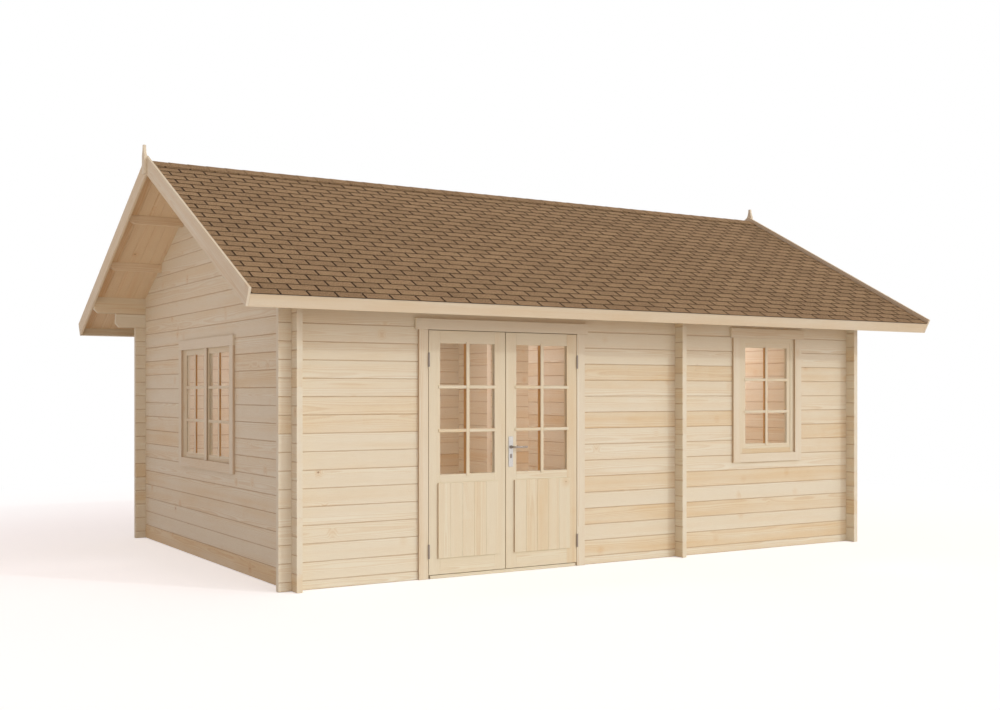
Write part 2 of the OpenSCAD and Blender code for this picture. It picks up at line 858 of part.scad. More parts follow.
module front_window_casing() color(pine)
    at_front_window(front_clear_z) casing(front_clear[0], front_clear[1], true, true);
module front_window_frame() color(pine)
    at_front_window(front_clear_z)
        window_frame(front_clear[0], front_clear[1], front_frame_show, front_frame_show);
module front_window_sash() color(pine)
    at_front_window(front_glass_z) window_sash(front_glass_w, front_glass_h);
module front_window_glass() color(pane)
    at_front_window(front_glass_z) window_pane(front_glass_w, front_glass_h, 0);

module gable_window_casing() color(pine) at_gable_window(gable_clear_z) {
    casing(gable_clear[0], gable_clear[1], true, false);
    box([-cover_w / 2, -cover_t, fit_gap], [cover_w / 2, -fit_gap, gable_clear[1] - fit_gap]);
}

module gable_window_frame() color(pine) at_gable_window(gable_clear_z) {
    window_frame(gable_clear[0], gable_clear[1], gable_frame_side, gable_frame_show);
    box(
        [-gable_post_w / 2, fit_gap, gable_frame_show + fit_gap],
        [gable_post_w / 2, log_t, gable_clear[1] - gable_frame_show - fit_gap]
    );
}

// Places the two sashes of the gable window side by side
module each_gable_sash() {
    at_gable_window(gable_glass_z)
        for (x = [-gable_shift, gable_shift])
            translate([x, 0, 0]) children();
}

module gable_window_sashes() color(pine) each_gable_sash() window_sash(gable_glass_w, gable_glass_h);
module gable_window_glass() color(pane) each_gable_sash() window_pane(gable_glass_w, gable_glass_h, 0);

front_wall_left();
front_wall_right();
front_wall_top();
back_wall();
left_gable_wall();
right_gable_wall();
partition_wall();
floor_left_room();
floor_right_room();
ridge_purlin();
front_purlins();
back_purlins();
front_roof_boards();
back_roof_boards();
front_shingles();
back_shingles();
ridge_cap();
left_front_barge();
left_back_barge();
right_front_barge();
right_back_barge();
front_eave_board();
back_eave_board();
left_finial();
right_finial();
door_frame();
door_threshold();
door_casing();
door_hinge_pins();
left_leaf_stiles();
left_leaf_rails();
left_leaf_panel();
left_leaf_glass();
left_leaf_hinges();
right_leaf_stiles();
right_leaf_rails();
right_leaf_panel();
right_leaf_glass();
right_leaf_hinges();
door_handle();
front_window_casing();
front_window_frame();
front_window_sash();
front_window_glass();
gable_window_casing();
gable_window_frame();
gable_window_sashes();
gable_window_glass();
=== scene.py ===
# %% [markdown]
# # A log cabin in Blender
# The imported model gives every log, board and pane in metres, in the place where it belongs.
# This lesson keeps those shapes and adds what a drawing leaves out: eased edges, grain that
# follows each board, shingle tabs, glazing bars, a lever handle, light and a camera.

import json
import math
import random

import bmesh
import bpy
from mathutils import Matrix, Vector

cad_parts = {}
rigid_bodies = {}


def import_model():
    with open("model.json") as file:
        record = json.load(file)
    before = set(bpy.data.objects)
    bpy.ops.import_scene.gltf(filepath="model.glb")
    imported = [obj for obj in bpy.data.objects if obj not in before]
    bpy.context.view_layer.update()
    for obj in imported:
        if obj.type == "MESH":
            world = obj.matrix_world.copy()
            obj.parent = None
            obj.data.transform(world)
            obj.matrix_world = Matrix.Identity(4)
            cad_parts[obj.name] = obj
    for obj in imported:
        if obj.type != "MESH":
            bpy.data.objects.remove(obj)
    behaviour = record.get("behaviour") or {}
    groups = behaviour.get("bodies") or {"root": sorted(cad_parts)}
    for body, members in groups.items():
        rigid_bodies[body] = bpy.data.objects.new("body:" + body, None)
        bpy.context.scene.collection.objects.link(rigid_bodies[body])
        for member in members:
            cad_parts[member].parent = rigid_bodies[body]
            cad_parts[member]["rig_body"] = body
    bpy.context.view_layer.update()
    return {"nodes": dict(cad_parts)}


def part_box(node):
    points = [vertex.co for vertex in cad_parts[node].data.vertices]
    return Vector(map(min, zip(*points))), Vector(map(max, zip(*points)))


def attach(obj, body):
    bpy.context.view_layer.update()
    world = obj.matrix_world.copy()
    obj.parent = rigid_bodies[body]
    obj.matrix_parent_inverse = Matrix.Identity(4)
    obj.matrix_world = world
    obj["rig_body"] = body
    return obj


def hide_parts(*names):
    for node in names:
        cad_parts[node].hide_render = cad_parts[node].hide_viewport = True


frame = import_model()
scene = bpy.context.scene
scene.view_settings.view_transform = "Standard"

# %% [markdown]
# ## The camera
# The picture is taken at eye height, from well to the left of the front door, with the camera
# held level. A level camera keeps upright lines upright, and the sensor shift does what sliding
# the lens does on a view camera: it moves the cabin in the picture without tilting anything.

# %% Camera
lens = bpy.data.cameras.new("photo_camera")
lens.sensor_width = 36.0
lens.lens = 42.957
lens.shift_x = 0.030
lens.shift_y = 0.0382
camera = bpy.data.objects.new("photo_camera", lens)
camera.location = (-6.221, -9.958, 1.432)
camera.rotation_euler = (math.pi / 2, 0.0, math.radians(-30.91))
scene.collection.objects.link(camera)
scene.camera = camera
print("camera at", tuple(round(v, 2) for v in camera.location))

# %% [markdown]
# ## A bench for node trees
# Every finish here is a node tree, and wiring one by hand in Python is long-winded. The bench
# places a node, sets its options and joins its sockets in one call. A value goes straight into a
# socket, and the output of another node becomes a link.


# %% Bench
class Bench:
    """A node tree to work on."""

    def __init__(self, tree):
        self.tree = tree
        tree.nodes.clear()

    def join(self, socket, value):
        if isinstance(value, bpy.types.NodeSocket):
            self.tree.links.new(value, socket)
        else:
            socket.default_value = value

    def put(self, kind, options=None, **sockets):
        """A shader node; a socket's name has underscores for its spaces."""
        node = self.tree.nodes.new("ShaderNode" + kind)
        for name, value in (options or {}).items():
            setattr(node, name, value)
        for name, value in sockets.items():
            self.join(node.inputs[name.replace("_", " ")], value)
        return node

    def feed(self, node, *values):
        """Fills a node's sockets in their order and gives its first output."""
        for socket, value in zip(node.inputs, values):
            self.join(socket, value)
        return node.outputs[0]

    def calc(self, how, *values):
        return self.feed(self.put("Math", {"operation": how}), *values)

    def vector(self, how, *values):
        return self.feed(self.put("VectorMath", {"operation": how}), *values)

    def fade(self, value, start, stop, low=0.0, high=1.0):
        """A soft step from low to high while the value goes from start to stop."""
        node = self.put(
            "MapRange", {"interpolation_type": "SMOOTHSTEP"},
            Value=value, From_Min=start, From_Max=stop, To_Min=low, To_Max=high,
        )
        return node.outputs[0]

    def mix(self, amount, first, second, how="MIX"):
        node = self.put("Mix", {"data_type": "RGBA", "blend_type": how})
        for index, value in ((0, amount), (6, first), (7, second)):
            self.join(node.inputs[index], value)
        return node.outputs[2]

    def stain(self, amount, colour, by):
        """A colour multiplied by a darker one, as far as the amount goes."""
        return self.mix(amount, colour, by, "MULTIPLY")

    def noise(self, vector, stretch, detail=2.0):
        """Soft noise with its own number of waves a metre along each axis."""
        stretched = self.vector("MULTIPLY", vector, stretch)
        return self.put("TexNoise", None, Vector=stretched, Scale=1.0, Detail=detail).outputs[0]

    def carried(self, name, output="Fac"):
        """What the mesh carries under this name."""
        return self.put("Attribute", {"attribute_name": name}).outputs[output]

    def luck(self, colour):
        """The three chance numbers that a random colour holds."""
        return self.put("SeparateColor", None, Color=colour).outputs

    def surface(self, height, strength, deep, **sockets):
        """A Principled shader with a bump as deep as given, on the material's output."""
        bump = self.put("Bump", None, Strength=strength, Distance=deep, Height=height)
        shader = self.put("BsdfPrincipled", None, Normal=bump.outputs[0], **sockets)
        self.put("OutputMaterial", None, Surface=shader.outputs[0])


print("bench ready")


# %% Colours, new finishes and new groups
def srgb(red, green, blue):
    """A colour as it reads on a screen, 0 to 255, turned into the linear values that nodes use."""

    def linear(c):
        c = c / 255
        return c / 12.92 if c <= 0.04045 else ((c + 0.055) / 1.055) ** 2.4

    return (linear(red), linear(green), linear(blue), 1.0)


def new_finish(name):
    """A material and the bench for its nodes."""
    finish = bpy.data.materials.new(name)
    finish.use_nodes = True
    return finish, Bench(finish.node_tree)


def new_group(name, takes, gives):
    """A shader node group, its bench, and the sockets that it reads and fills."""
    group = bpy.data.node_groups.new(name, "ShaderNodeTree")
    for way, sockets in (("INPUT", takes), ("OUTPUT", gives)):
        for label, kind in sockets.items():
            group.interface.new_socket(name=label, in_out=way, socket_type="NodeSocket" + kind)
    bench = Bench(group)
    given = group.nodes.new("NodeGroupInput").outputs
    made = group.nodes.new("NodeGroupOutput").inputs
    return group, bench, given, made


print("middle grey is", round(srgb(128, 128, 128)[0], 3))

# %% [markdown]
# ## Pine
# Planed pine shows four things: growth rings, which make streaks and flames on a face and arcs on
# a sawn end, small knots that the rings flow round, fine fibres, and a tone of its own for every
# board. An image of wood would repeat and would run across joints. Instead each board carries its
# own coordinates, with x along the grain, and a number that sets it apart from its neighbours.
# The rings are then real cylinders round a pith that lies somewhere beside or inside the board.

# %% Knots
KNOT_CELLS = 5.5
KNOT_SMALL, KNOT_LARGE = 0.004, 0.011
KNOT_REACH = 0.06


def knots(bench, own, share):
    """Masks of the dark knots and of the wood that bends round them."""
    stretched = bench.vector("MULTIPLY", own, (1.0, 0.25, 1.0))
    spots = bench.put(
        "TexVoronoi", {"feature": "F1"}, Vector=stretched, Scale=KNOT_CELLS, Randomness=0.9,
    ).outputs
    luck = bench.luck(spots["Color"])
    there = bench.calc("LESS_THAN", luck[0], share)
    away = bench.calc("DIVIDE", spots["Distance"], KNOT_CELLS)
    size = bench.fade(luck[1], 0.0, 1.0, KNOT_SMALL, KNOT_LARGE)
    rim, heart = bench.calc("MULTIPLY", size, 1.25), bench.calc("MULTIPLY", size, 0.8)
    core = bench.calc("MULTIPLY", there, bench.fade(away, rim, heart))
    around = bench.calc("MULTIPLY", there, bench.fade(away, KNOT_REACH, KNOT_SMALL))
    return core, around


print("knots up to", round(2000 * KNOT_LARGE), "mm wide")

# %% Growth rings
PITH_NEAR, PITH_DEEP = 0.015, 0.11
PITH_ASIDE = 0.08
RING_NARROW, RING_WIDE = 0.0035, 0.006
RING_SWAY = 0.028
KNOT_PUSH = 0.012


def late_wood(bench, grain, own, luck, around):
    """The dark part of each ring, from the distance to the pith."""
    place = bench.put("SeparateXYZ", None, Vector=grain).outputs
    deep = bench.calc("SUBTRACT", place[1], bench.fade(luck[0], 0.0, 1.0, PITH_NEAR, PITH_DEEP))
    across = bench.calc("SUBTRACT", place[2], bench.fade(luck[1], 0.0, 1.0, -PITH_ASIDE, PITH_ASIDE))
    from_pith = bench.put("CombineXYZ", None, X=deep, Y=across).outputs[0]
    radius = bench.put("VectorMath", {"operation": "LENGTH"}, Vector=from_pith).outputs["Value"]
    sway = bench.calc("SUBTRACT", bench.noise(own, (0.8, 5.0, 5.0)), 0.5)
    radius = bench.calc("MULTIPLY_ADD", sway, RING_SWAY, radius)
    radius = bench.calc("MULTIPLY_ADD", around, KNOT_PUSH, radius)
    width = bench.fade(luck[2], 0.0, 1.0, RING_NARROW, RING_WIDE)
    ring = bench.calc("FRACT", bench.calc("DIVIDE", radius, width))
    return bench.calc("MULTIPLY", bench.fade(ring, 0.25, 0.88), bench.fade(ring, 1.0, 0.9))


print("rings up to", round(1000 * RING_WIDE), "mm wide")

# %% Pine figure, a group that every timber finish shares
OWN_SHIFT = (40.0, 30.0, 20.0)
LATE_STAIN = (0.80, 0.62, 0.42, 1.0)
FIBRE_STAIN = (0.60, 0.50, 0.40, 1.0)
KNOT_STAIN = (0.88, 0.68, 0.45, 1.0)
# A darker brown for the chamfers between logs, partly dirt and partly painted shade, and painted shade on
# side edges.
SEAM_AND_EDGE_SHADE = (0.78, 0.66, 0.58, 1.0)
KNOT_BROWN = srgb(138, 92, 54)


def board_tone(bench, own, draw, variation):
    """How warm the wood is: a few boards as a whole, and long streaks and patches in all of them."""
    tone = bench.calc("MULTIPLY", bench.calc("POWER", draw, 4.0), variation)
    streak = bench.noise(own, (0.45, 16.0, 16.0), 3.0)
    tone = bench.calc("MULTIPLY_ADD", bench.calc("SUBTRACT", streak, 0.45), 1.0, tone)
    patch = bench.noise(own, (1.6, 5.0, 5.0))
    tone = bench.calc("MULTIPLY_ADD", bench.calc("SUBTRACT", patch, 0.5), 0.7, tone)
    return bench.fade(tone, -0.1, 1.0)


def make_pine_figure():
    group, bench, given, made = new_group(
        "pine_figure",
        {"Pale": "Color", "Warm": "Color", "Variation": "Float", "Rings": "Float", "Knots": "Float"},
        {"Color": "Color", "Roughness": "Float", "Height": "Float"},
    )
    grain = bench.carried("grain", "Vector")
    seed = bench.calc("MULTIPLY", bench.carried("board"), 977.0)
    draw = bench.put("TexWhiteNoise", {"noise_dimensions": "1D"}, W=seed).outputs
    own = bench.vector("MULTIPLY_ADD", draw["Color"], OWN_SHIFT, grain)
    core, around = knots(bench, own, given["Knots"])
    late = late_wood(bench, grain, own, bench.luck(draw["Color"]), around)
    fibre = bench.noise(own, (12.0, 380.0, 380.0))

    warmth = board_tone(bench, own, draw["Value"], given["Variation"])
    wood = bench.mix(warmth, given["Pale"], given["Warm"])
    wood = bench.stain(bench.calc("MULTIPLY", late, given["Rings"]), wood, LATE_STAIN)
    wood = bench.stain(bench.fade(fibre, 0.3, 0.7, 0.10, 0.0), wood, FIBRE_STAIN)
    wood = bench.stain(bench.calc("MULTIPLY", around, 0.45), wood, KNOT_STAIN)
    wood = bench.mix(bench.calc("MULTIPLY", core, 0.8), wood, KNOT_BROWN)
    # Painted light: end-grain faces are mixed part way to the pale colour, paler than real end grain.
    wood = bench.mix(bench.calc("MULTIPLY", bench.carried("end"), 0.40), wood, given["Pale"])
    # Log chamfers get dirt and painted shade; side edges of casings and panel boards get painted shade.
    bench.join(made["Color"], bench.stain(bench.carried("seam"), wood, SEAM_AND_EDGE_SHADE))

    bench.join(made["Roughness"], bench.fade(fibre, 0.25, 0.75, 0.66, 0.52))
    height = bench.calc("MULTIPLY_ADD", fibre, 0.5, bench.calc("MULTIPLY", late, 0.4))
    bench.join(made["Height"], bench.calc("MULTIPLY_ADD", core, 0.5, height))
    return group


pine_figure = make_pine_figure()
print("pine figure:", len(pine_figure.nodes), "nodes")

# %% [markdown]
# All the timber is bare pine from different planks. Each finish places the figure with its own pale
# and warm colour, how much one board differs from the next, the strength of its rings and its share
# of knots. Roof boards are warmer than logs. The cores of the glazing bars get a darker, warmer pine
# that paints the shade on the sides of the bars.


# %% The timber finishes
def pine(name, pale, warm, variation, rings, share):
    finish, bench = new_finish(name)
    figure = bench.put(
        "Group", {"node_tree": pine_figure},
        Pale=pale, Warm=warm, Variation=variation, Rings=rings, Knots=share,
    ).outputs
    bench.surface(
        figure["Height"], 0.35, 0.0009,
        Base_Color=figure["Color"], Roughness=figure["Roughness"], Specular_IOR_Level=0.3,
    )
    return finish


planks = {
    "log_pine": (srgb(232, 226, 205), srgb(224, 200, 157), 0.56, 0.36, 0.20),
    "trim_pine": (srgb(231, 224, 203), srgb(223, 203, 168), 0.50, 0.34, 0.10),
    "door_pine": (srgb(230, 223, 199), srgb(223, 202, 163), 0.50, 0.34, 0.08),
    "roof_pine": (srgb(230, 210, 176), srgb(217, 180, 134), 0.55, 0.40, 0.24),
    "floor_pine": (srgb(218, 196, 160), srgb(198, 158, 114), 0.90, 0.45, 0.22),
    "purlin_pine": (srgb(235, 219, 191), srgb(221, 192, 151), 0.40, 0.36, 0.24),
    # Painted shade: the darker, warmer pine of the bar cores.
    "shaded_bar_pine": (srgb(232, 184, 124), srgb(212, 156, 94), 0.50, 0.30, 0.05),
}
finishes = {name: pine(name, *values) for name, values in planks.items()}
print("timber finishes:", ", ".join(finishes))

# %% [markdown]
# ## Dressing the logs and boards
# The CAD solids have the right shape, but a plain mesh doesn't know which way its grain runs. For
# each timber node a copy is made and its solids are told apart. Each solid is one log or board: its
# longest side is the grain, its shortest the thickness. The copy then stands for the node.


# %% Solids of a mesh
def node_mesh(node):
    """A bmesh copy of a CAD node with its split corners joined."""
    bm = bmesh.new()
    bm.from_mesh(frame["nodes"][node].data)
    bmesh.ops.remove_doubles(bm, verts=bm.verts, dist=1e-5)
    return bm


def solids_of(bm):
    """Lists of vertices that hang together, one list a solid, in the order of their middles."""
    seen, solids = set(), []
    for first in bm.verts:
        if first in seen:
            continue
        seen.add(first)
        found, rest = [], [first]
        while rest:
            vert = rest.pop()
            found.append(vert)
            for edge in vert.link_edges:
                other = edge.other_vert(vert)
                if other not in seen:
                    seen.add(other)
                    rest.append(other)
        solids.append(found)

    def middle(verts):
        return tuple(round(sum(v.co[i] for v in verts) / len(verts), 3) for i in (2, 0, 1))

    return sorted(solids, key=middle)


def limits(points):
    return [(min(p[i] for p in points), max(p[i] for p in points)) for i in range(3)]


def solid_boxes(node):
    """Lowest and highest corner of each solid in a CAD node."""
    bm = node_mesh(node)
    boxes = []
    for verts in solids_of(bm):
        ends = limits([v.co for v in verts])
        boxes.append((Vector(e[0] for e in ends), Vector(e[1] for e in ends)))
    bm.free()
    return boxes


print("panes in the gable window:", len(solid_boxes("gable_window_glass")))

# %% [markdown]
# The roof is worked in a frame of its own: u runs down the slope from the ridge, w stands square on
# it, and x stays along the ridge. Pitch and ridge height are read from the roof boards themselves.

# %% Slope frame
FRONT, BACK = -1, 1
slope = frame["nodes"]["front_roof_boards"].data
pitch = math.acos(abs(max(slope.polygons, key=lambda face: face.area).normal.z))
under_boards = min(v.co.z * math.cos(pitch) - v.co.y * math.sin(pitch) for v in slope.vertices)
ridge = Vector((0.0, 0.0, under_boards / math.cos(pitch)))


def slope_axes(side):
    """Directions down a slope and square out of it."""
    down = Vector((0.0, side * math.cos(pitch), -math.sin(pitch)))
    out = Vector((0.0, side * math.sin(pitch), math.cos(pitch)))
    return down, out


def slope_limits(node, side):
    """Ranges of a node along the ridge, down the slope and out of it."""
    down, out = slope_axes(side)
    spots = [v.co - ridge for v in frame["nodes"][node].data.vertices]
    return limits([(s.x, s.dot(down), s.dot(out)) for s in spots])


print(f"pitch {math.degrees(pitch):.1f} degrees, ridge at {ridge.z:.3f} m")

# %% [markdown]
# Trim gets its sharp edges eased, as sandpaper does, so that they catch the light: flat triangles are
# joined first, and a small bevel follows. The chamfers between two logs are marked as seams, since
# dirt and shade make the wood there browner.

# %% Grain directions and eased edges
FLAT, SHARP = math.radians(1), math.radians(25)


def chance_of(*words):
    """A number from 0 to 1 that stays the same for the same board."""
    return random.Random(" ".join(str(word) for word in words)).random()


def board_axes(verts, along):
    """Grain, thickness and width directions of a solid."""
    size = [high - low for low, high in limits([v.co for v in verts])]
    units = [Vector((1, 0, 0)), Vector((0, 1, 0)), Vector((0, 0, 1))]
    if along is not None:
        return along, units[0], along.cross(units[0])
    order = sorted(range(3), key=lambda i: size[i])
    return units[order[2]], units[order[0]], units[order[1]]


def ease_edges(bm, ease):
    bmesh.ops.dissolve_limit(bm, angle_limit=FLAT, verts=bm.verts, edges=bm.edges)
    sharp = [e for e in bm.edges if len(e.link_faces) == 2 and e.calc_face_angle() > SHARP]
    bmesh.ops.bevel(
        bm, geom=sharp, offset=ease, segments=2, profile=0.5, affect="EDGES", clamp_overlap=True,
    )


print(f"edges sharper than {math.degrees(SHARP):.0f} degrees can be eased")


# %% Dress a timber node
def take_place(piece, node):
    """The piece rides on the node's body, stands for the node and keeps its finish."""
    scene.collection.objects.link(piece)
    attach(piece, frame["nodes"][node]["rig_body"])
    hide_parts(node)
    return piece


def dress(node, slot, ease=0.0, along=None, finish=None, seams=0.0, edges=0.0):
    """Gives each solid its grain, with dirt and painted shade on chamfers by seams and painted shade on
    side edges by edges.
    """
    bm = node_mesh(node)
    if ease:
        ease_edges(bm, ease)
    grain = bm.verts.layers.float_vector.new("grain")
    board = bm.verts.layers.float.new("board")
    end = bm.faces.layers.float.new("end")
    seam = bm.faces.layers.float.new("seam")
    solids = solids_of(bm)
    for count, verts in enumerate(solids):
        axes = board_axes(verts, along)
        middle = sum((v.co for v in verts), Vector()) / len(verts)
        luck = chance_of(node, count)
        for vert in verts:
            vert[grain] = Vector((vert.co - middle).dot(axis) for axis in axes)
            vert[board] = luck
            for face in vert.link_faces:
                turned = [abs(face.normal.dot(axis)) for axis in axes]
                face[end] = 1.0 if turned[0] > 0.7 else 0.0
                slanted, on_edge = min(turned[1:]) > 0.6, turned[2] > 0.9
                face[seam] = max(seams * slanted, edges * on_edge)
    mesh = bpy.data.meshes.new(node + "_timber")
    bm.to_mesh(mesh)
    bm.free()
    mesh.materials.append(finishes[finish or slot])
    take_place(bpy.data.objects.new(node + "_timber", mesh), node)
    return len(solids)


walls = (
    "front_wall_left", "front_wall_right", "front_wall_top", "back_wall",
    "left_gable_wall", "right_gable_wall", "partition_wall",
)
print("logs:", sum(dress(node, "log_pine", seams=0.65) for node in walls))

# %% [markdown]
# The roof trim is planed rounder than the door and window joinery. The side edges of the boards round
# the openings are browned with painted shade. The barge boards climb the slope, so their grain is told.

# %% Trim, purlins and joinery
trim = ("front_eave_board", "back_eave_board", "left_finial", "right_finial")
casings = ("door_casing", "front_window_casing", "gable_window_casing")
joinery = (
    "door_frame", "door_threshold",
    "left_leaf_stiles", "left_leaf_rails", "right_leaf_stiles", "right_leaf_rails",
    "front_window_frame", "front_window_sash", "gable_window_frame", "gable_window_sashes",
)
TRIM_EASE, CASING_EASE, JOINERY_EASE, PURLIN_EASE = 0.0025, 0.001, 0.0008, 0.003
count = sum(dress(node, "trim_pine", TRIM_EASE) for node in trim)
# The casings' side edges are browned: painted shade.
count += sum(dress(node, "trim_pine", CASING_EASE, edges=0.8) for node in casings)
for gable in ("left", "right"):
    for side, name in ((FRONT, "front"), (BACK, "back")):
        count += dress(f"{gable}_{name}_barge", "trim_pine", TRIM_EASE, slope_axes(side)[0])
count += sum(dress(node, "door_pine", JOINERY_EASE) for node in joinery)
for node in ("ridge_purlin", "front_purlins", "back_purlins"):
    count += dress(node, "roof_pine", PURLIN_EASE, finish="purlin_pine")
print("boards of trim and joinery:", count)

# %% [markdown]
# ## New boards
# Some CAD nodes are one slab that stands for many boards. Those boards are built here from their
# section: a polygon in thickness and width, swept along the grain. Each sweep closes itself with
# an end face, and slightly smaller end rings ease the sawn arrises.

# %% Stock
HALF_GAP = 0.0002
FIT = 0.0003


class Stock:
    """Collects the corners and faces of one piece, with what each of them carries."""

    def __init__(self):
        self.corners, self.faces = [], []
        self.at_corner, self.at_face = {}, {}

    def sweep(self, rings, corner_values=None, face_values=None, cap_values=None):
        """A closed skin through rings of equally many points. Values are one a point or one for all."""
        first, n = len(self.corners), len(rings[0])
        for ring in rings:
            self.corners.extend(ring)
        sides = 0
        for r in range(len(rings) - 1):
            low = first + r * n
            for i in range(n):
                j = (i + 1) % n
                self.faces.append((low + i, low + j, low + n + j, low + n + i))
                sides += 1
        last = first + (len(rings) - 1) * n
        self.faces.append(tuple(first + i for i in reversed(range(n))))
        self.faces.append(tuple(last + i for i in range(n)))
        for name, values in (corner_values or {}).items():
            values = values if isinstance(values, list) else [values] * (n * len(rings))
            self.at_corner.setdefault(name, []).extend(values)
        for name, value in (face_values or {}).items():
            caps = (cap_values or {}).get(name, value)
            self.at_face.setdefault(name, []).extend([value] * sides + [caps] * 2)

    def board(self, section, start, stop, place, luck, ease=0.0):
        """A board: section points are (thickness, width), and place turns (along, *point) to a corner."""
        mid = [sum(p[i] for p in section) / len(section) for i in (0, 1)]
        half = [max(abs(p[i] - mid[i]) for p in section) for i in (0, 1)]
        small = [tuple(mid[i] + (p[i] - mid[i]) * (1 - ease / half[i]) for i in (0, 1)) for p in section]
        if ease:
            steps = ((start, small), (start + ease, section), (stop - ease, section), (stop, small))
        else:
            steps = ((start, section), (stop, section))
        grain = [(t, a - mid[0], b - mid[1]) for t, ring in steps for a, b in ring]
        self.sweep(
            [[place(t, a, b) for a, b in ring] for t, ring in steps],
            {"grain": grain, "board": luck}, {"end": 0.0}, {"end": 1.0},
        )

    def build(self, name, material):
        mesh = bpy.data.meshes.new(name)
        mesh.from_pydata(self.corners, [], self.faces)
        for domain, carried in (("POINT", self.at_corner), ("FACE", self.at_face)):
            for key, values in carried.items():
                vector = isinstance(values[0], tuple)
                layer = mesh.attributes.new(key, "FLOAT_VECTOR" if vector else "FLOAT", domain)
                flat = [c for v in values for c in v] if vector else values
                layer.data.foreach_set("vector" if vector else "value", flat)
        bm = bmesh.new()
        bm.from_mesh(mesh)
        bmesh.ops.recalc_face_normals(bm, faces=bm.faces)
        bm.to_mesh(mesh)
        bm.free()
        mesh.materials.append(material)
        return bpy.data.objects.new(name, mesh)


print("stock ready")

# %% [markdown]
# ## Roof boards
# From below, the overhangs show narrow boards that run up the slope, each with a small bevel on its
# lower edges so that every joint reads as a fine groove.

# %% Roof boards
ROOF_BOARD = 0.0945
JOINT_BEVEL = 0.003
for side, name in ((FRONT, "front"), (BACK, "back")):
    node = name + "_roof_boards"
    (x0, x1), (_, u1), (w0, w1) = slope_limits(node, side)
    down, out = slope_axes(side)
    count = round((x1 - x0) / ROOF_BOARD)
    step = (x1 - x0) / count
    half = step / 2 - HALF_GAP
    section = [
        (w0, -half + JOINT_BEVEL), (w0 + JOINT_BEVEL, -half), (w1, -half),
        (w1, half), (w0 + JOINT_BEVEL, half), (w0, half - JOINT_BEVEL),
    ]
    stock = Stock()
    for i in range(count):
        middle = x0 + (i + 0.5) * step
        stock.board(
            section, 0.0, u1,
            lambda t, a, b: ridge + down * t + out * a + Vector((middle + b, 0.0, 0.0)),
            chance_of(node, i),
        )
    take_place(stock.build(node + "_laid", finishes["roof_pine"]), node)
    print(f"{name} roof boards: {count}, {step * 1000:.0f} mm wide")

# %% [markdown]
# ## Floor boards
# The floor shows through the door and the windows. Its boards run along the cabin, and the rows in
# line with the inner doorway go on through it.

# %% Floor boards
FLOOR_BOARD = 0.095
FLOOR_ARRIS = 0.002
FLOOR_END_EASE = 0.001
partition_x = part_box("partition_wall")[0].x
left_floor = frame["nodes"]["floor_left_room"].data
doorway = [v.co.y for v in left_floor.vertices if v.co.x > partition_x + 0.001]
for node in ("floor_left_room", "floor_right_room"):
    low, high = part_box(node)
    rows = round((high.y - low.y) / FLOOR_BOARD)
    step = (high.y - low.y) / rows
    half = step / 2 - HALF_GAP
    shoulder = high.z - FLOOR_ARRIS
    section = [
        (low.z, -half), (low.z, half), (shoulder, half), (high.z, half - FLOOR_ARRIS),
        (high.z, -half + FLOOR_ARRIS), (shoulder, -half),
    ]
    stock = Stock()
    for i in range(rows):
        middle = low.y + (i + 0.5) * step
        through = min(doorway) < middle - half < middle + half < max(doorway)
        far = high.x if through or node == "floor_right_room" else partition_x - FIT
        stock.board(
            section, low.x, far, lambda t, a, b: Vector((t, middle + b, a)),
            chance_of(node, i), FLOOR_END_EASE,
        )
    take_place(stock.build(node + "_laid", finishes["floor_pine"]), node)
    print(node, "rows:", rows)

# %% [markdown]
# ## Shingles
# Bitumen shingles come as strips cut into tabs, faced with coloured mineral granules. Each course
# covers the top of the one below, with the slots half a tab out of line, and each tab gets a painted
# shadow band where the next course lies on it. The finish reads three things from the mesh: a tone
# for each tab, how far up the tab a point lies, and whether a face is dark: a cut edge, or painted
# shade at the bottom of a slot.

# %% Granules, shared by the shingles and the ridge cap
GRAINS = 620.0
CLOUDS = (3.5, 3.5, 3.5)
CLOUD_STAIN = (0.72, 0.68, 0.64, 1.0)


def make_granules():
    group, bench, given, made = new_group(
        "granules",
        {"Dark": "Color", "Middle": "Color", "Light": "Color"},
        {"Color": "Color", "Height": "Float"},
    )
    spot = bench.put("TexCoord").outputs["Object"]
    grains = bench.put("TexVoronoi", {"feature": "F1"}, Vector=spot, Scale=GRAINS).outputs
    luck = bench.luck(grains["Color"])
    mixed = bench.mix(bench.fade(luck[0], 0.45, 0.62), given["Middle"], given["Light"])
    mixed = bench.mix(bench.fade(luck[1], 0.70, 0.80), mixed, given["Dark"])
    cloud = bench.fade(bench.noise(spot, CLOUDS, 4.0), 0.35, 0.65, 0.0, 0.25)
    bench.join(made["Color"], bench.stain(cloud, mixed, CLOUD_STAIN))
    bench.join(made["Height"], bench.fade(grains["Distance"], 0.7, 0.1))
    return group


granules = make_granules()
print("granules:", len(granules.nodes), "nodes")

# %% Shingle finishes
TAB_STAIN = (0.58, 0.55, 0.52, 1.0)
# The brown of the painted shadow band just below each course.
SHADOW_BAND_BROWN = srgb(58, 42, 28)
# Dark bitumen of cut edges, also used as painted shade on the strips under the slots.
CUT_AND_SLOT_SHADE_BROWN = srgb(58, 40, 25)


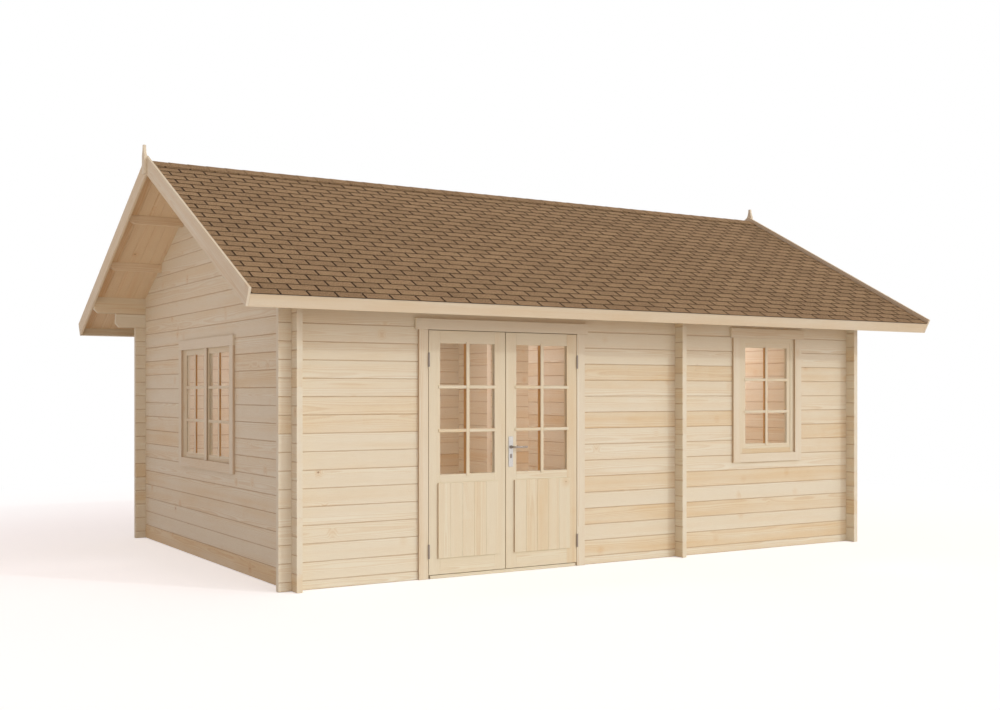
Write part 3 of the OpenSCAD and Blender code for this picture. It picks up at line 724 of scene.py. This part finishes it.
def mineral(name, shadow_band):
    """Granules with a tone for each tab, a painted shadow as strong as given near the top of each tab, dark
    bitumen edges, and painted shade in the slots.
    """
    finish, bench = new_finish(name)
    grit = bench.put(
        "Group", {"node_tree": granules},
        Dark=srgb(106, 84, 58), Middle=srgb(160, 131, 96), Light=srgb(187, 159, 121),
    ).outputs
    tone = bench.fade(bench.carried("tone"), 0.0, 1.0, 0.0, 0.34)
    colour = bench.stain(tone, grit["Color"], TAB_STAIN)
    # Painted shadow: a dark band at the top of each tab, just below the next course.
    shade = bench.fade(bench.carried("rise"), 0.88, 0.98, 0.0, shadow_band)
    colour = bench.mix(shade, colour, SHADOW_BAND_BROWN)
    # Cut edges are dark bitumen; the same brown paints the shade in the slots on to the strips below.
    colour = bench.mix(bench.carried("cut"), colour, CUT_AND_SLOT_SHADE_BROWN)
    bench.surface(grit["Height"], 0.5, 0.0008, Base_Color=colour, Roughness=0.9, Specular_IOR_Level=0.25)
    return finish


shingle_finish = mineral("shingle_brown", 0.62)
cap_finish = mineral("ridge_cap_brown", 0.35)
print("shingle finishes:", shingle_finish.name, cap_finish.name)

# %% [markdown]
# Each course is a row of thin slabs, one a tab, with small differences in place and tone, since hands
# lay them. Under its slots lies the top of the course below, as one strip, painted dark for the shade
# in the slots. The slabs tilt by their own thickness over one course, so that each foot lies on the
# row below.

# %% Measures of the shingles
TAB, EXPOSED = 0.2125, 0.097
SLOT, SLOT_PLAY = 0.015, 0.0015
TAB_THICK, STRIP_THICK = 0.0028, 0.0015
TAB_LIFT, TAB_SLIP, TAB_CORNER, LEAST_TAB = 0.0006, 0.0015, 0.004, 0.02
STRIP_TONE, STRIP_LAP, STRIP_UNDER, LEAST_STRIP = 0.9, 0.004, 0.0002, 0.01
STARTER_BACK, STARTER_UNDER = 0.003, 0.0008
UNDER_CAP, RIDGE_CLEAR = 0.05, 0.006
HAIR = 0.0001
print(f"tabs {1000 * (TAB - SLOT):.0f} mm wide show {1000 * EXPOSED:.0f} mm of their height")


# %% Shingle courses
def lay_shingles(node, side):
    (x0, x1), (_, u1), (_, w1) = slope_limits(node, side)
    down, out = slope_axes(side)
    courses = round((u1 - UNDER_CAP) / EXPOSED)
    exposed = (u1 - UNDER_CAP) / courses
    tilt = TAB_THICK / exposed
    chance = random.Random(node)
    stock = Stock()

    def point(x, u, w):
        return ridge + Vector((x, 0.0, 0.0)) + down * u + out * w

    def slab(outline, low_edge, top, thick, tone, face_cut=0.0):
        """A flat piece with its outline in (x, distance up from the low edge)."""
        rings = []
        for drop in (thick, 0.0):
            rings.append([point(x, low_edge - s, top - tilt * s - drop) for x, s in outline])
        rise = [s / exposed for x, s in outline] * 2
        stock.sweep(rings, {"tone": tone, "rise": rise}, {"cut": 1.0}, {"cut": face_cut})

    def strip(low_edge, start, stop, top):
        outline = [(x0, start), (x1, start), (x1, stop), (x0, stop)]
        # The strip's top is painted dark: painted shade in the slots above it.
        slab(outline, low_edge, top, STRIP_THICK, STRIP_TONE, 1.0)

    strip(u1, STARTER_BACK, exposed, w1 - TAB_THICK - STARTER_UNDER)
    tabs = 0
    for row in range(courses):
        low_edge = u1 - row * exposed
        strip_top = min(2 * exposed + STRIP_LAP, low_edge - RIDGE_CLEAR)
        if strip_top > exposed + LEAST_STRIP:
            strip(low_edge, exposed + 5 * HAIR, strip_top, w1 - STRIP_UNDER)
        left = x0 - TAB * (0.5 if row % 2 else 1.0)
        while left < x1:
            gap = SLOT + chance.uniform(-SLOT_PLAY, SLOT_PLAY)
            a, b = max(left + gap / 2, x0), min(left + TAB - gap / 2, x1)
            tone = chance.random()
            lift, slip = chance.uniform(0.0, TAB_LIFT), chance.uniform(0.0, TAB_SLIP)
            left += TAB
            if b - a < LEAST_TAB:
                continue
            outline = [
                (a + TAB_CORNER, slip), (b - TAB_CORNER, slip), (b, slip + TAB_CORNER),
                (b, exposed), (a, exposed), (a, slip + TAB_CORNER),
            ]
            slab(outline, low_edge, w1 - TAB_LIFT + lift, TAB_THICK - HAIR, tone)
            tabs += 1
    take_place(stock.build(node + "_tabs", shingle_finish), node)
    return courses, tabs


for node, side in (("front_shingles", FRONT), ("back_shingles", BACK)):
    courses, tabs = lay_shingles(node, side)
    print(f"{node}: {courses} courses, {tabs} tabs")

# %% [markdown]
# Along the ridge, single tabs are bent over the top and laid like scales from the left, each on the
# foot of the last.

# %% Ridge cap
CAP_STEP, CAP_LAP = 0.165, 0.05
CAP_THICK, CAP_UNDER = 0.003, 0.004
CAP_BEND, CAP_TOP = 0.02, 0.004
CAP_PLAY, CAP_ARRIS = 0.003, 0.003
(x0, x1), (_, reach), (_, cap_high) = slope_limits("ridge_cap", FRONT)
cap_count = round((x1 - x0 - CAP_LAP) / CAP_STEP)
cap_step = (x1 - x0 - CAP_LAP) / cap_count


def over_ridge(x, w, wide):
    """Points of a bent tab from its front edge over the ridge to its back edge."""
    line = []
    reaches = (wide, CAP_BEND, CAP_TOP)
    for side, u in [(FRONT, u) for u in reaches] + [(BACK, u) for u in reversed(reaches)]:
        down, out = slope_axes(side)
        sag = max(0.0, CAP_BEND - u) * 0.25
        line.append(ridge + Vector((x, 0.0, 0.0)) + down * u + out * (w - sag))
    return line


stock = Stock()
chance = random.Random("ridge cap")
for i in range(cap_count):
    start = x0 + i * cap_step
    stop = start + cap_step + CAP_LAP
    wide = reach - chance.uniform(0.0, CAP_PLAY)
    rings = []
    for x, lift in ((start, 0.003), (start + CAP_ARRIS, 0.0035), (stop, 0.0)):
        under = cap_high - CAP_UNDER + lift
        rings.append(over_ridge(x, under, wide) + over_ridge(x, under + CAP_THICK, wide)[::-1])
    stock.sweep(rings, {"tone": chance.random(), "rise": 0.3}, {"cut": 0.0}, {"cut": 1.0})
take_place(stock.build("ridge_cap_tabs", cap_finish), "ridge_cap")
print("ridge tabs:", cap_count)

# %% [markdown]
# ## Door panels
# The lower half of each leaf carries a panel of upright boards that stands proud of the frame. Its
# outer edges are bevelled all round and its joints are V-grooves. Boards behind fill the frame. The
# side faces of all these boards are browned with painted shade, for the shadow line beside the panel.

# %% Panel boards
PANEL_BOARDS = 5
PANEL_BEVEL = 0.0015
PANEL_JOINT = 0.0016


def proud_rings(a, b, y0, y1, z0, z1, left, right):
    """Rings of a board that stands proud, bevelled at its front and at both ends."""
    deep = y0 + PANEL_BEVEL
    full = [(y1, a), (y1, b), (y0 + right, b), (y0, b - right), (y0, a + left), (y0 + left, a)]
    end = [(y1, a), (y1, b), (deep, b), (deep, b - right), (deep, a + left), (deep, a)]
    return (z0, end), (z0 + PANEL_BEVEL, full), (z1 - PANEL_BEVEL, full), (z1, end)


def core_rings(a, b, y0, y1, z0, z1, left, right):
    """Rings of a board between the stiles, with its grooves towards the room."""
    full = [(y0, a), (y0, b), (y1 - right, b), (y1, b - right), (y1, a + left), (y1 - left, a)]
    return (z0, full), (z1, full)


for leaf in ("left_leaf", "right_leaf"):
    node = leaf + "_panel"
    low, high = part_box(node)
    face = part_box(leaf + "_stiles")[0].y
    rails_x = sorted({round(v.co.x, 4) for v in frame["nodes"][leaf + "_rails"].data.vertices})
    rails = solid_boxes(leaf + "_rails")
    core_z = (rails[0][1].z + FIT, rails[1][0].z - FIT)
    stock = Stock()
    for outer, shape, (x0, x1), depth, height in (
        (True, proud_rings, (low.x, high.x), (low.y, face - FIT), (low.z, high.z)),
        (False, core_rings, (rails_x[0], rails_x[-1]), (face - FIT, high.y), core_z),
    ):
        step = (x1 - x0) / PANEL_BOARDS
        for i in range(PANEL_BOARDS):
            left = PANEL_BEVEL if i == 0 and outer else PANEL_JOINT
            right = PANEL_BEVEL if i == PANEL_BOARDS - 1 and outer else PANEL_JOINT
            a, b = x0 + i * step + HAIR, x0 + (i + 1) * step - HAIR
            luck = chance_of(node, outer, i)
            steps = shape(a, b, *depth, *height, left, right)
            middle = (a + b) / 2
            grain = [(z, y - face, x - middle) for z, ring in steps for y, x in ring]
            stock.sweep(
                [[Vector((x, y, z)) for y, x in ring] for z, ring in steps],
                {"grain": grain, "board": luck}, {"end": 0.0}, {"end": 1.0},
            )
    piece = stock.build(node + "_boards", finishes["door_pine"])
    # The boards' side faces get painted shade: the brown shadow line beside the proud panel.
    seam = piece.data.attributes.new("seam", "FLOAT", "FACE")
    sideways = [abs(polygon.normal.x) > 0.9 for polygon in piece.data.polygons]
    seam.data.foreach_set("value", [1.0 if turned else 0.0 for turned in sideways])
    take_place(piece, node)
    print(node, "boards:", 2 * PANEL_BOARDS)

# %% [markdown]
# ## Glass and glazing bars
# The panes are single sheets. Their CAD solids stay and only get a finish: clear glass that lets
# shadow rays pass, so that daylight comes into the rooms.


# %% Glass
def finish_node(node, finish):
    """The CAD node keeps its mesh and gets a finish."""
    mesh = frame["nodes"][node].data
    mesh.materials.clear()
    mesh.materials.append(finish)


glass, bench = new_finish("clear_glass")
pane = bench.put(
    "BsdfPrincipled", None,
    Base_Color=(1.0, 0.985, 0.975, 1.0), Roughness=0.0, IOR=1.06, Transmission_Weight=1.0,
)
clear = bench.put("BsdfTransparent", None, Color=(0.94, 0.96, 0.95, 1.0))
shadow = bench.put("LightPath").outputs["Is Shadow Ray"]
both = bench.feed(bench.put("MixShader"), shadow, pane.outputs[0], clear.outputs[0])
bench.put("OutputMaterial", None, Surface=both)
panes = ("left_leaf_glass", "right_leaf_glass", "front_window_glass", "gable_window_glass")
for node in panes:
    finish_node(node, glass)
print("panes:", ", ".join(panes))

# %% [markdown]
# A light wooden grille lies on each pane: one upright and two cross bars, deep enough to reach the
# glass, with bevelled fronts whose ends lap on to the frame. The same bars show on the room side. The
# cores behind the fronts are a darker, warmer pine: painted shade on the sides of the bars.

# %% Glazing bars
SEAT = 0.008
UPRIGHT_BAR, LEVEL_BAR = 0.030, 0.026
BAR_LAP, BAR_CLEAR = 0.015, 0.0005


def glaze(name, glass_node, frame_node, faces_front, proud, inner):
    """A grille of bars on both sides of each pane of a glass node."""
    depth, width = (1, 0) if faces_front else (0, 1)
    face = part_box(frame_node)[0][depth]
    front, back, bevel = face - proud, face - FIT, proud / 2
    covers, cores = Stock(), Stock()
    bars = 0

    def upright(t, a, b):
        return Vector((b, a, t)) if faces_front else Vector((a, b, t))

    def level(t, a, b):
        return Vector((t, a, b)) if faces_front else Vector((a, t, b))

    for low, high in solid_boxes(glass_node):
        x0, x1 = low[width] + SEAT, high[width] - SEAT
        z0, z1 = low.z + SEAT, high.z - SEAT
        middle, side = (x0 + x1) / 2, UPRIGHT_BAR / 2 + HALF_GAP
        runs = [(upright, middle, UPRIGHT_BAR / 2, z0, z1, True, True)]
        for third in (1, 2):
            z = z0 + (z1 - z0) * third / 3
            runs.append((level, z, LEVEL_BAR / 2, x0, middle - side, True, False))
            runs.append((level, z, LEVEL_BAR / 2, middle + side, x1, False, True))
        for place, centre, half, start, stop, lap_start, lap_stop in runs:
            luck = chance_of(name, bars)
            left, right = centre - half, centre + half
            cover = [
                (back, left), (back, right), (front + bevel, right),
                (front, right - bevel), (front, left + bevel), (front + bevel, left),
            ]
            first, last = start - BAR_LAP * lap_start, stop + BAR_LAP * lap_stop
            covers.board(cover, first, last, place, luck, bevel / 2)
            first, last = start + BAR_CLEAR * lap_start, stop - BAR_CLEAR * lap_stop
            for near, far in ((back, low[depth] - FIT), (high[depth] + FIT, high[depth] + inner)):
                core = [(near, left), (near, right), (far, right), (far, left)]
                cores.board(core, first, last, place, luck)
            bars += 1
    # The cores take the darker, warmer pine as painted shade.
    for stock, part, finish in ((covers, "bars", "door_pine"), (cores, "bar_cores", "shaded_bar_pine")):
        piece = stock.build(f"{name}_{part}", finishes[finish])
        scene.collection.objects.link(piece)
        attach(piece, frame["nodes"][glass_node]["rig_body"])
    return bars


for name, frame_node, faces_front, proud, inner in (
    ("left_leaf", "left_leaf_stiles", True, 0.006, 0.015),
    ("right_leaf", "right_leaf_stiles", True, 0.006, 0.015),
    ("front_window", "front_window_sash", True, 0.006, 0.015),
    ("gable_window", "gable_window_sashes", False, 0.003, 0.005),
):
    print(name, "bars:", glaze(name, name + "_glass", frame_node, faces_front, proud, inner))

# %% [markdown]
# ## Steel fittings
# The hinges and the lever handle are brushed steel. Brushing leaves fine scratches along a plate, so
# the colour, the roughness and the bump come from a noise that is stretched upright.

# %% Brushed steel
BRUSH = (900.0, 900.0, 25.0)
WIPES = (30.0, 30.0, 30.0)


def brushed(name, dark, light):
    finish, bench = new_finish(name)
    spot = bench.put("TexCoord").outputs["Object"]
    brush = bench.noise(spot, BRUSH, 3.0)
    wipe = bench.fade(bench.noise(spot, WIPES, 3.0), 0.35, 0.7)
    rough = bench.calc("MULTIPLY_ADD", wipe, 0.1, bench.fade(brush, 0.3, 0.7, 0.24, 0.38))
    colour = bench.mix(bench.fade(brush, 0.3, 0.7), dark, light)
    bench.surface(brush, 0.12, 0.0002, Base_Color=colour, Roughness=rough, Metallic=1.0)
    return finish


plate_steel = brushed("plate_steel", (0.58, 0.55, 0.52, 1.0), (0.70, 0.67, 0.64, 1.0))
dark_steel = brushed("dark_steel", (0.28, 0.24, 0.21, 1.0), (0.38, 0.33, 0.29, 1.0))
for node in ("door_hinge_pins", "left_leaf_hinges", "right_leaf_hinges"):
    finish_node(node, dark_steel)
print("steel finishes:", plate_steel.name, dark_steel.name)

# %% [markdown]
# The handle is a long plate, a collar, a round lever that turns through a right angle, and a cylinder
# with its key slot, the same on both sides of the leaf. All of these are sweeps through a few rings:
# circles for the round parts and rectangles with round corners for the flat ones.

# %% Rings for round and flat steel parts
ACROSS, UPWARD = Vector((1, 0, 0)), Vector((0, 0, 1))


def circle(centre, radius, sides=24, across=ACROSS):
    """An upright ring of points round a centre."""
    ring = []
    for i in range(sides):
        turn = 2 * math.pi * i / sides
        ring.append(centre + across * (radius * math.cos(turn)) + UPWARD * (radius * math.sin(turn)))
    return ring


def stadium(centre, wide, tall, corner, sides=24):
    """An upright rectangle with round corners, as a ring."""
    ring = []
    for i in range(sides):
        turn = 2 * math.pi * (i + 0.5) / sides
        c, s = math.cos(turn), math.sin(turn)
        x = math.copysign(wide / 2 - corner, c) + corner * c
        z = math.copysign(tall / 2 - corner, s) + corner * s
        ring.append(centre + ACROSS * x + UPWARD * z)
    return ring


def tube(stock, path, radii, sides=20):
    """A round bar along a path that lies level, with a radius for each point."""
    rings = []
    for i, spot in enumerate(path):
        ahead = (path[min(i + 1, len(path) - 1)] - path[max(i - 1, 0)]).normalized()
        rings.append(circle(spot, radii[i], sides, UPWARD.cross(ahead)))
    stock.sweep(rings)


print("ring shapes ready")

# %% Plate, screws and key cylinder
PLATE_WIDE, PLATE_TALL, PLATE_THICK = 0.042, 0.245, 0.006
PLATE_CORNER, PLATE_ARRIS, PLATE_CLEAR = 0.008, 0.0015, 0.0004
SCREW_IN = 0.014
KEY_DOWN = 0.072
LEVER_UP = 0.159
low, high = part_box("door_handle")
leaf_low, leaf_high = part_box("right_leaf_stiles")
handle_x = low.x + PLATE_WIDE / 2
lever_z = low.z + LEVER_UP


def off_leaf(face, outward):
    """What turns a place along the leaf, off its face and up it to a point."""
    return lambda x, off, z: Vector((x, face + outward * off, z))


def add_plate(stock, at):
    """A plate with two screws."""
    middle = (low.z + high.z) / 2
    plate = (
        (PLATE_CLEAR, PLATE_WIDE, PLATE_TALL),
        (PLATE_THICK - PLATE_ARRIS, PLATE_WIDE, PLATE_TALL),
        (PLATE_THICK, PLATE_WIDE - 2 * PLATE_ARRIS, PLATE_TALL - 2 * PLATE_ARRIS),
    )
    stock.sweep([stadium(at(handle_x, off, middle), wide, tall, PLATE_CORNER) for off, wide, tall in plate])
    screw = ((-0.0005, 0.0046), (0.0006, 0.0046), (0.0016, 0.003))
    for z in (low.z + SCREW_IN, high.z - SCREW_IN):
        stock.sweep([circle(at(handle_x, PLATE_THICK + off, z), radius, 16) for off, radius in screw])


def add_key_cylinder(stock, at):
    """An upright rounded boss with a slot sunk in its face."""
    boss, rim, slot = (0.021, 0.036, 0.0105), (0.0195, 0.0345, 0.0097), (0.003, 0.013, 0.0014)
    rings = []
    for off, outline in ((0.0, boss), (0.0016, boss), (0.0022, rim), (0.0022, slot), (-0.002, slot)):
        rings.append(stadium(at(handle_x, PLATE_THICK + off, lever_z - KEY_DOWN), *outline))
    stock.sweep(rings)


print("handle plates at x", round(handle_x, 3))

# %% Collar and lever
LEVER_R, COLLAR_R = 0.0078, 0.014
LEVER_BEND, BEND_STEPS = 0.014, 6
LEVER_TAPER = ((0.5, 0.0076), (0.93, 0.0072), (0.975, 0.0062), (1.0, 0.0035))
lever_end = high.x


def add_lever(stock, at, reach):
    """A collar on the plate and a lever that comes out as far as reach and turns along the leaf."""
    collar = ((0.0, COLLAR_R), (0.004, COLLAR_R), (0.006, COLLAR_R - 0.002))
    stock.sweep([circle(at(handle_x, PLATE_THICK + off, lever_z), radius) for off, radius in collar])
    out_to = reach - LEVER_R
    path = [at(handle_x, PLATE_THICK + 0.005, lever_z), at(handle_x, out_to - LEVER_BEND, lever_z)]
    for i in range(1, BEND_STEPS + 1):
        turn = math.pi / 2 * i / BEND_STEPS
        along, off = LEVER_BEND * (1 - math.cos(turn)), LEVER_BEND * math.sin(turn)
        path.append(at(handle_x + along, out_to - LEVER_BEND + off, lever_z))
    radii = [LEVER_R] * len(path)
    straight = lever_end - handle_x - LEVER_BEND
    for share, radius in LEVER_TAPER:
        path.append(at(handle_x + LEVER_BEND + straight * share, out_to, lever_z))
        radii.append(radius)
    tube(stock, path, radii)


plates, levers = Stock(), Stock()
for outward, face, reach in ((-1, leaf_low.y, leaf_low.y - low.y), (1, leaf_high.y, high.y - leaf_high.y)):
    at = off_leaf(face, outward)
    add_plate(plates, at)
    add_lever(levers, at, reach)
    add_key_cylinder(levers, at)
for stock, name, finish in ((plates, "door_plates", plate_steel), (levers, "door_levers", dark_steel)):
    piece = stock.build(name, finish)
    for polygon in piece.data.polygons:
        polygon.use_smooth = True
    piece.data.set_sharp_from_angle(angle=math.radians(35))
    take_place(piece, "door_handle")
print(f"lever {1000 * (lever_end - handle_x):.0f} mm long at {lever_z:.3f} m")

# %% [markdown]
# ## Light and ground
# A low, soft sun from the front right lights the front wall and the roof and leaves the left gable in
# shade, with the shadow of the eave across the upper logs. The sky is even, with a brighter part in
# front. What the camera sees behind the cabin, also in glass and steel, is plain white.

# %% Sky
EVEN_SKY, EVEN_TINT = 0.52, (1.0, 0.83, 0.80, 1.0)
FRONT_SKY, FRONT_TINT = 1.80, (0.965, 0.935, 0.905, 1.0)
FRONT_FROM = (0.5, -0.866, 0.0)
FRONT_NARROW = 3.0
WHITE = (1.0, 1.0, 1.0, 1.0)


def seen_rays(bench):
    """1 for rays that show a thing, straight or in glass and steel, and 0 for those that carry light."""
    rays = bench.put("LightPath").outputs
    seen = bench.calc("MAXIMUM", rays["Is Camera Ray"], rays["Is Glossy Ray"])
    return bench.calc("MAXIMUM", seen, rays["Is Transmission Ray"])


world = bpy.data.worlds.new("sky")
scene.world = world
world.use_nodes = True
bench = Bench(world.node_tree)
toward = bench.put("VectorMath", {"operation": "DOT_PRODUCT"})
bench.feed(toward, bench.put("TexCoord").outputs["Generated"], FRONT_FROM)
ahead = bench.calc("POWER", bench.calc("MAXIMUM", toward.outputs["Value"], 0.0), FRONT_NARROW)
even = bench.put("Background", None, Color=EVEN_TINT, Strength=EVEN_SKY)
glow = bench.calc("MULTIPLY", ahead, FRONT_SKY)
front = bench.put("Background", None, Color=FRONT_TINT, Strength=glow)
sky = bench.feed(bench.put("AddShader"), even.outputs[0], front.outputs[0])
backdrop = bench.put("Background", None, Color=WHITE, Strength=1.0)
both = bench.feed(bench.put("MixShader"), seen_rays(bench), sky, backdrop.outputs[0])
bench.put("OutputWorld", None, Surface=both)
print("sky strength:", EVEN_SKY, "and", FRONT_SKY, "in front")

# %% [markdown]
# Two soft lamps under the ridge stand for the light that a bright day throws into the rooms, and a
# weak one on the left for what the ground throws up under the gable. Neither the camera nor glass or
# steel shows the lamps themselves.

# %% Sun and lamps
SUN_TRAVEL = Vector((-0.80, 1.0, -0.575))
ROOM_TINT, FILL_TINT = (1.0, 0.91, 0.97), (1.0, 0.80, 0.64)
LAMP_Z, LAMP_DEEP = 2.45, 1.0
FILL_AIM = Vector((-2.9, 0.2, 2.7))
sun = bpy.data.lights.new("sun", "SUN")
sun.energy = 0.51
sun.color = (0.88, 0.98, 1.0)
sun.angle = math.radians(1.2)
sun_object = bpy.data.objects.new("sun", sun)
sun_object.rotation_mode = "QUATERNION"
sun_object.rotation_quaternion = SUN_TRAVEL.to_track_quat("-Z", "Y")
scene.collection.objects.link(sun_object)


def soft_lamp(name, place, wide, power, tint):
    """An area lamp that shines straight down and doesn't show."""
    light = bpy.data.lights.new(name, "AREA")
    light.shape = "RECTANGLE"
    light.size, light.size_y = wide, LAMP_DEEP
    light.energy = power
    light.color = tint
    lamp = bpy.data.objects.new(name, light)
    lamp.location = place
    lamp.visible_camera = False
    lamp.visible_glossy = False
    lamp.visible_transmission = False
    scene.collection.objects.link(lamp)
    return lamp


soft_lamp("left_room_lamp", (-1.1, 0.45, LAMP_Z), 2.4, 36.0, ROOM_TINT)
soft_lamp("right_room_lamp", (1.75, 0.0, LAMP_Z), 1.4, 33.0, ROOM_TINT)
fill = soft_lamp("left_fill", (-7.5, 0.2, 0.4), 3.0, 2.4, FILL_TINT)
fill.data.spread = math.radians(55)
fill.rotation_euler = (FILL_AIM - fill.location).to_track_quat("-Z", "Y").to_euler()

# %% [markdown]
# The ground is a pale sheet that lies a hair below the logs and fades to white with the distance, so
# that nothing but the cabin's own shadow lies on it. Its lift is seen but lights nothing.

# %% Ground
GROUND = 60.0
GROUND_Z = -0.002
FADE_FROM, FADE_TO = 4.5, 9.5
GROUND_LIFT = 0.42
GROUND_TINT = (0.92, 0.92, 0.92, 1.0)
mesh = bpy.data.meshes.new("ground")
corners = [(GROUND * x, GROUND * y, GROUND_Z) for x, y in ((-1, -1), (1, -1), (1, 1), (-1, 1))]
mesh.from_pydata(corners, [], [(0, 1, 2, 3)])
ground = bpy.data.objects.new("ground", mesh)
scene.collection.objects.link(ground)
paper, bench = new_finish("pale_ground")
spot = bench.put("TexCoord").outputs["Object"]
far = bench.put("VectorMath", {"operation": "LENGTH"}, Vector=spot).outputs["Value"]
seen = seen_rays(bench)
lit = bench.put("BsdfDiffuse", None, Color=GROUND_TINT)
lift = bench.put("Emission", None, Color=WHITE, Strength=bench.calc("MULTIPLY", seen, GROUND_LIFT))
sheet = bench.feed(bench.put("AddShader"), lit.outputs[0], lift.outputs[0])
white = bench.put("Emission", None, Color=WHITE, Strength=1.0)
amount = bench.calc("MULTIPLY", seen, bench.fade(far, FADE_FROM, FADE_TO))
both = bench.feed(bench.put("MixShader"), amount, sheet, white.outputs[0])
bench.put("OutputMaterial", None, Surface=both)
mesh.materials.append(paper)
print("ground fades to white", FADE_TO, "m from the middle")
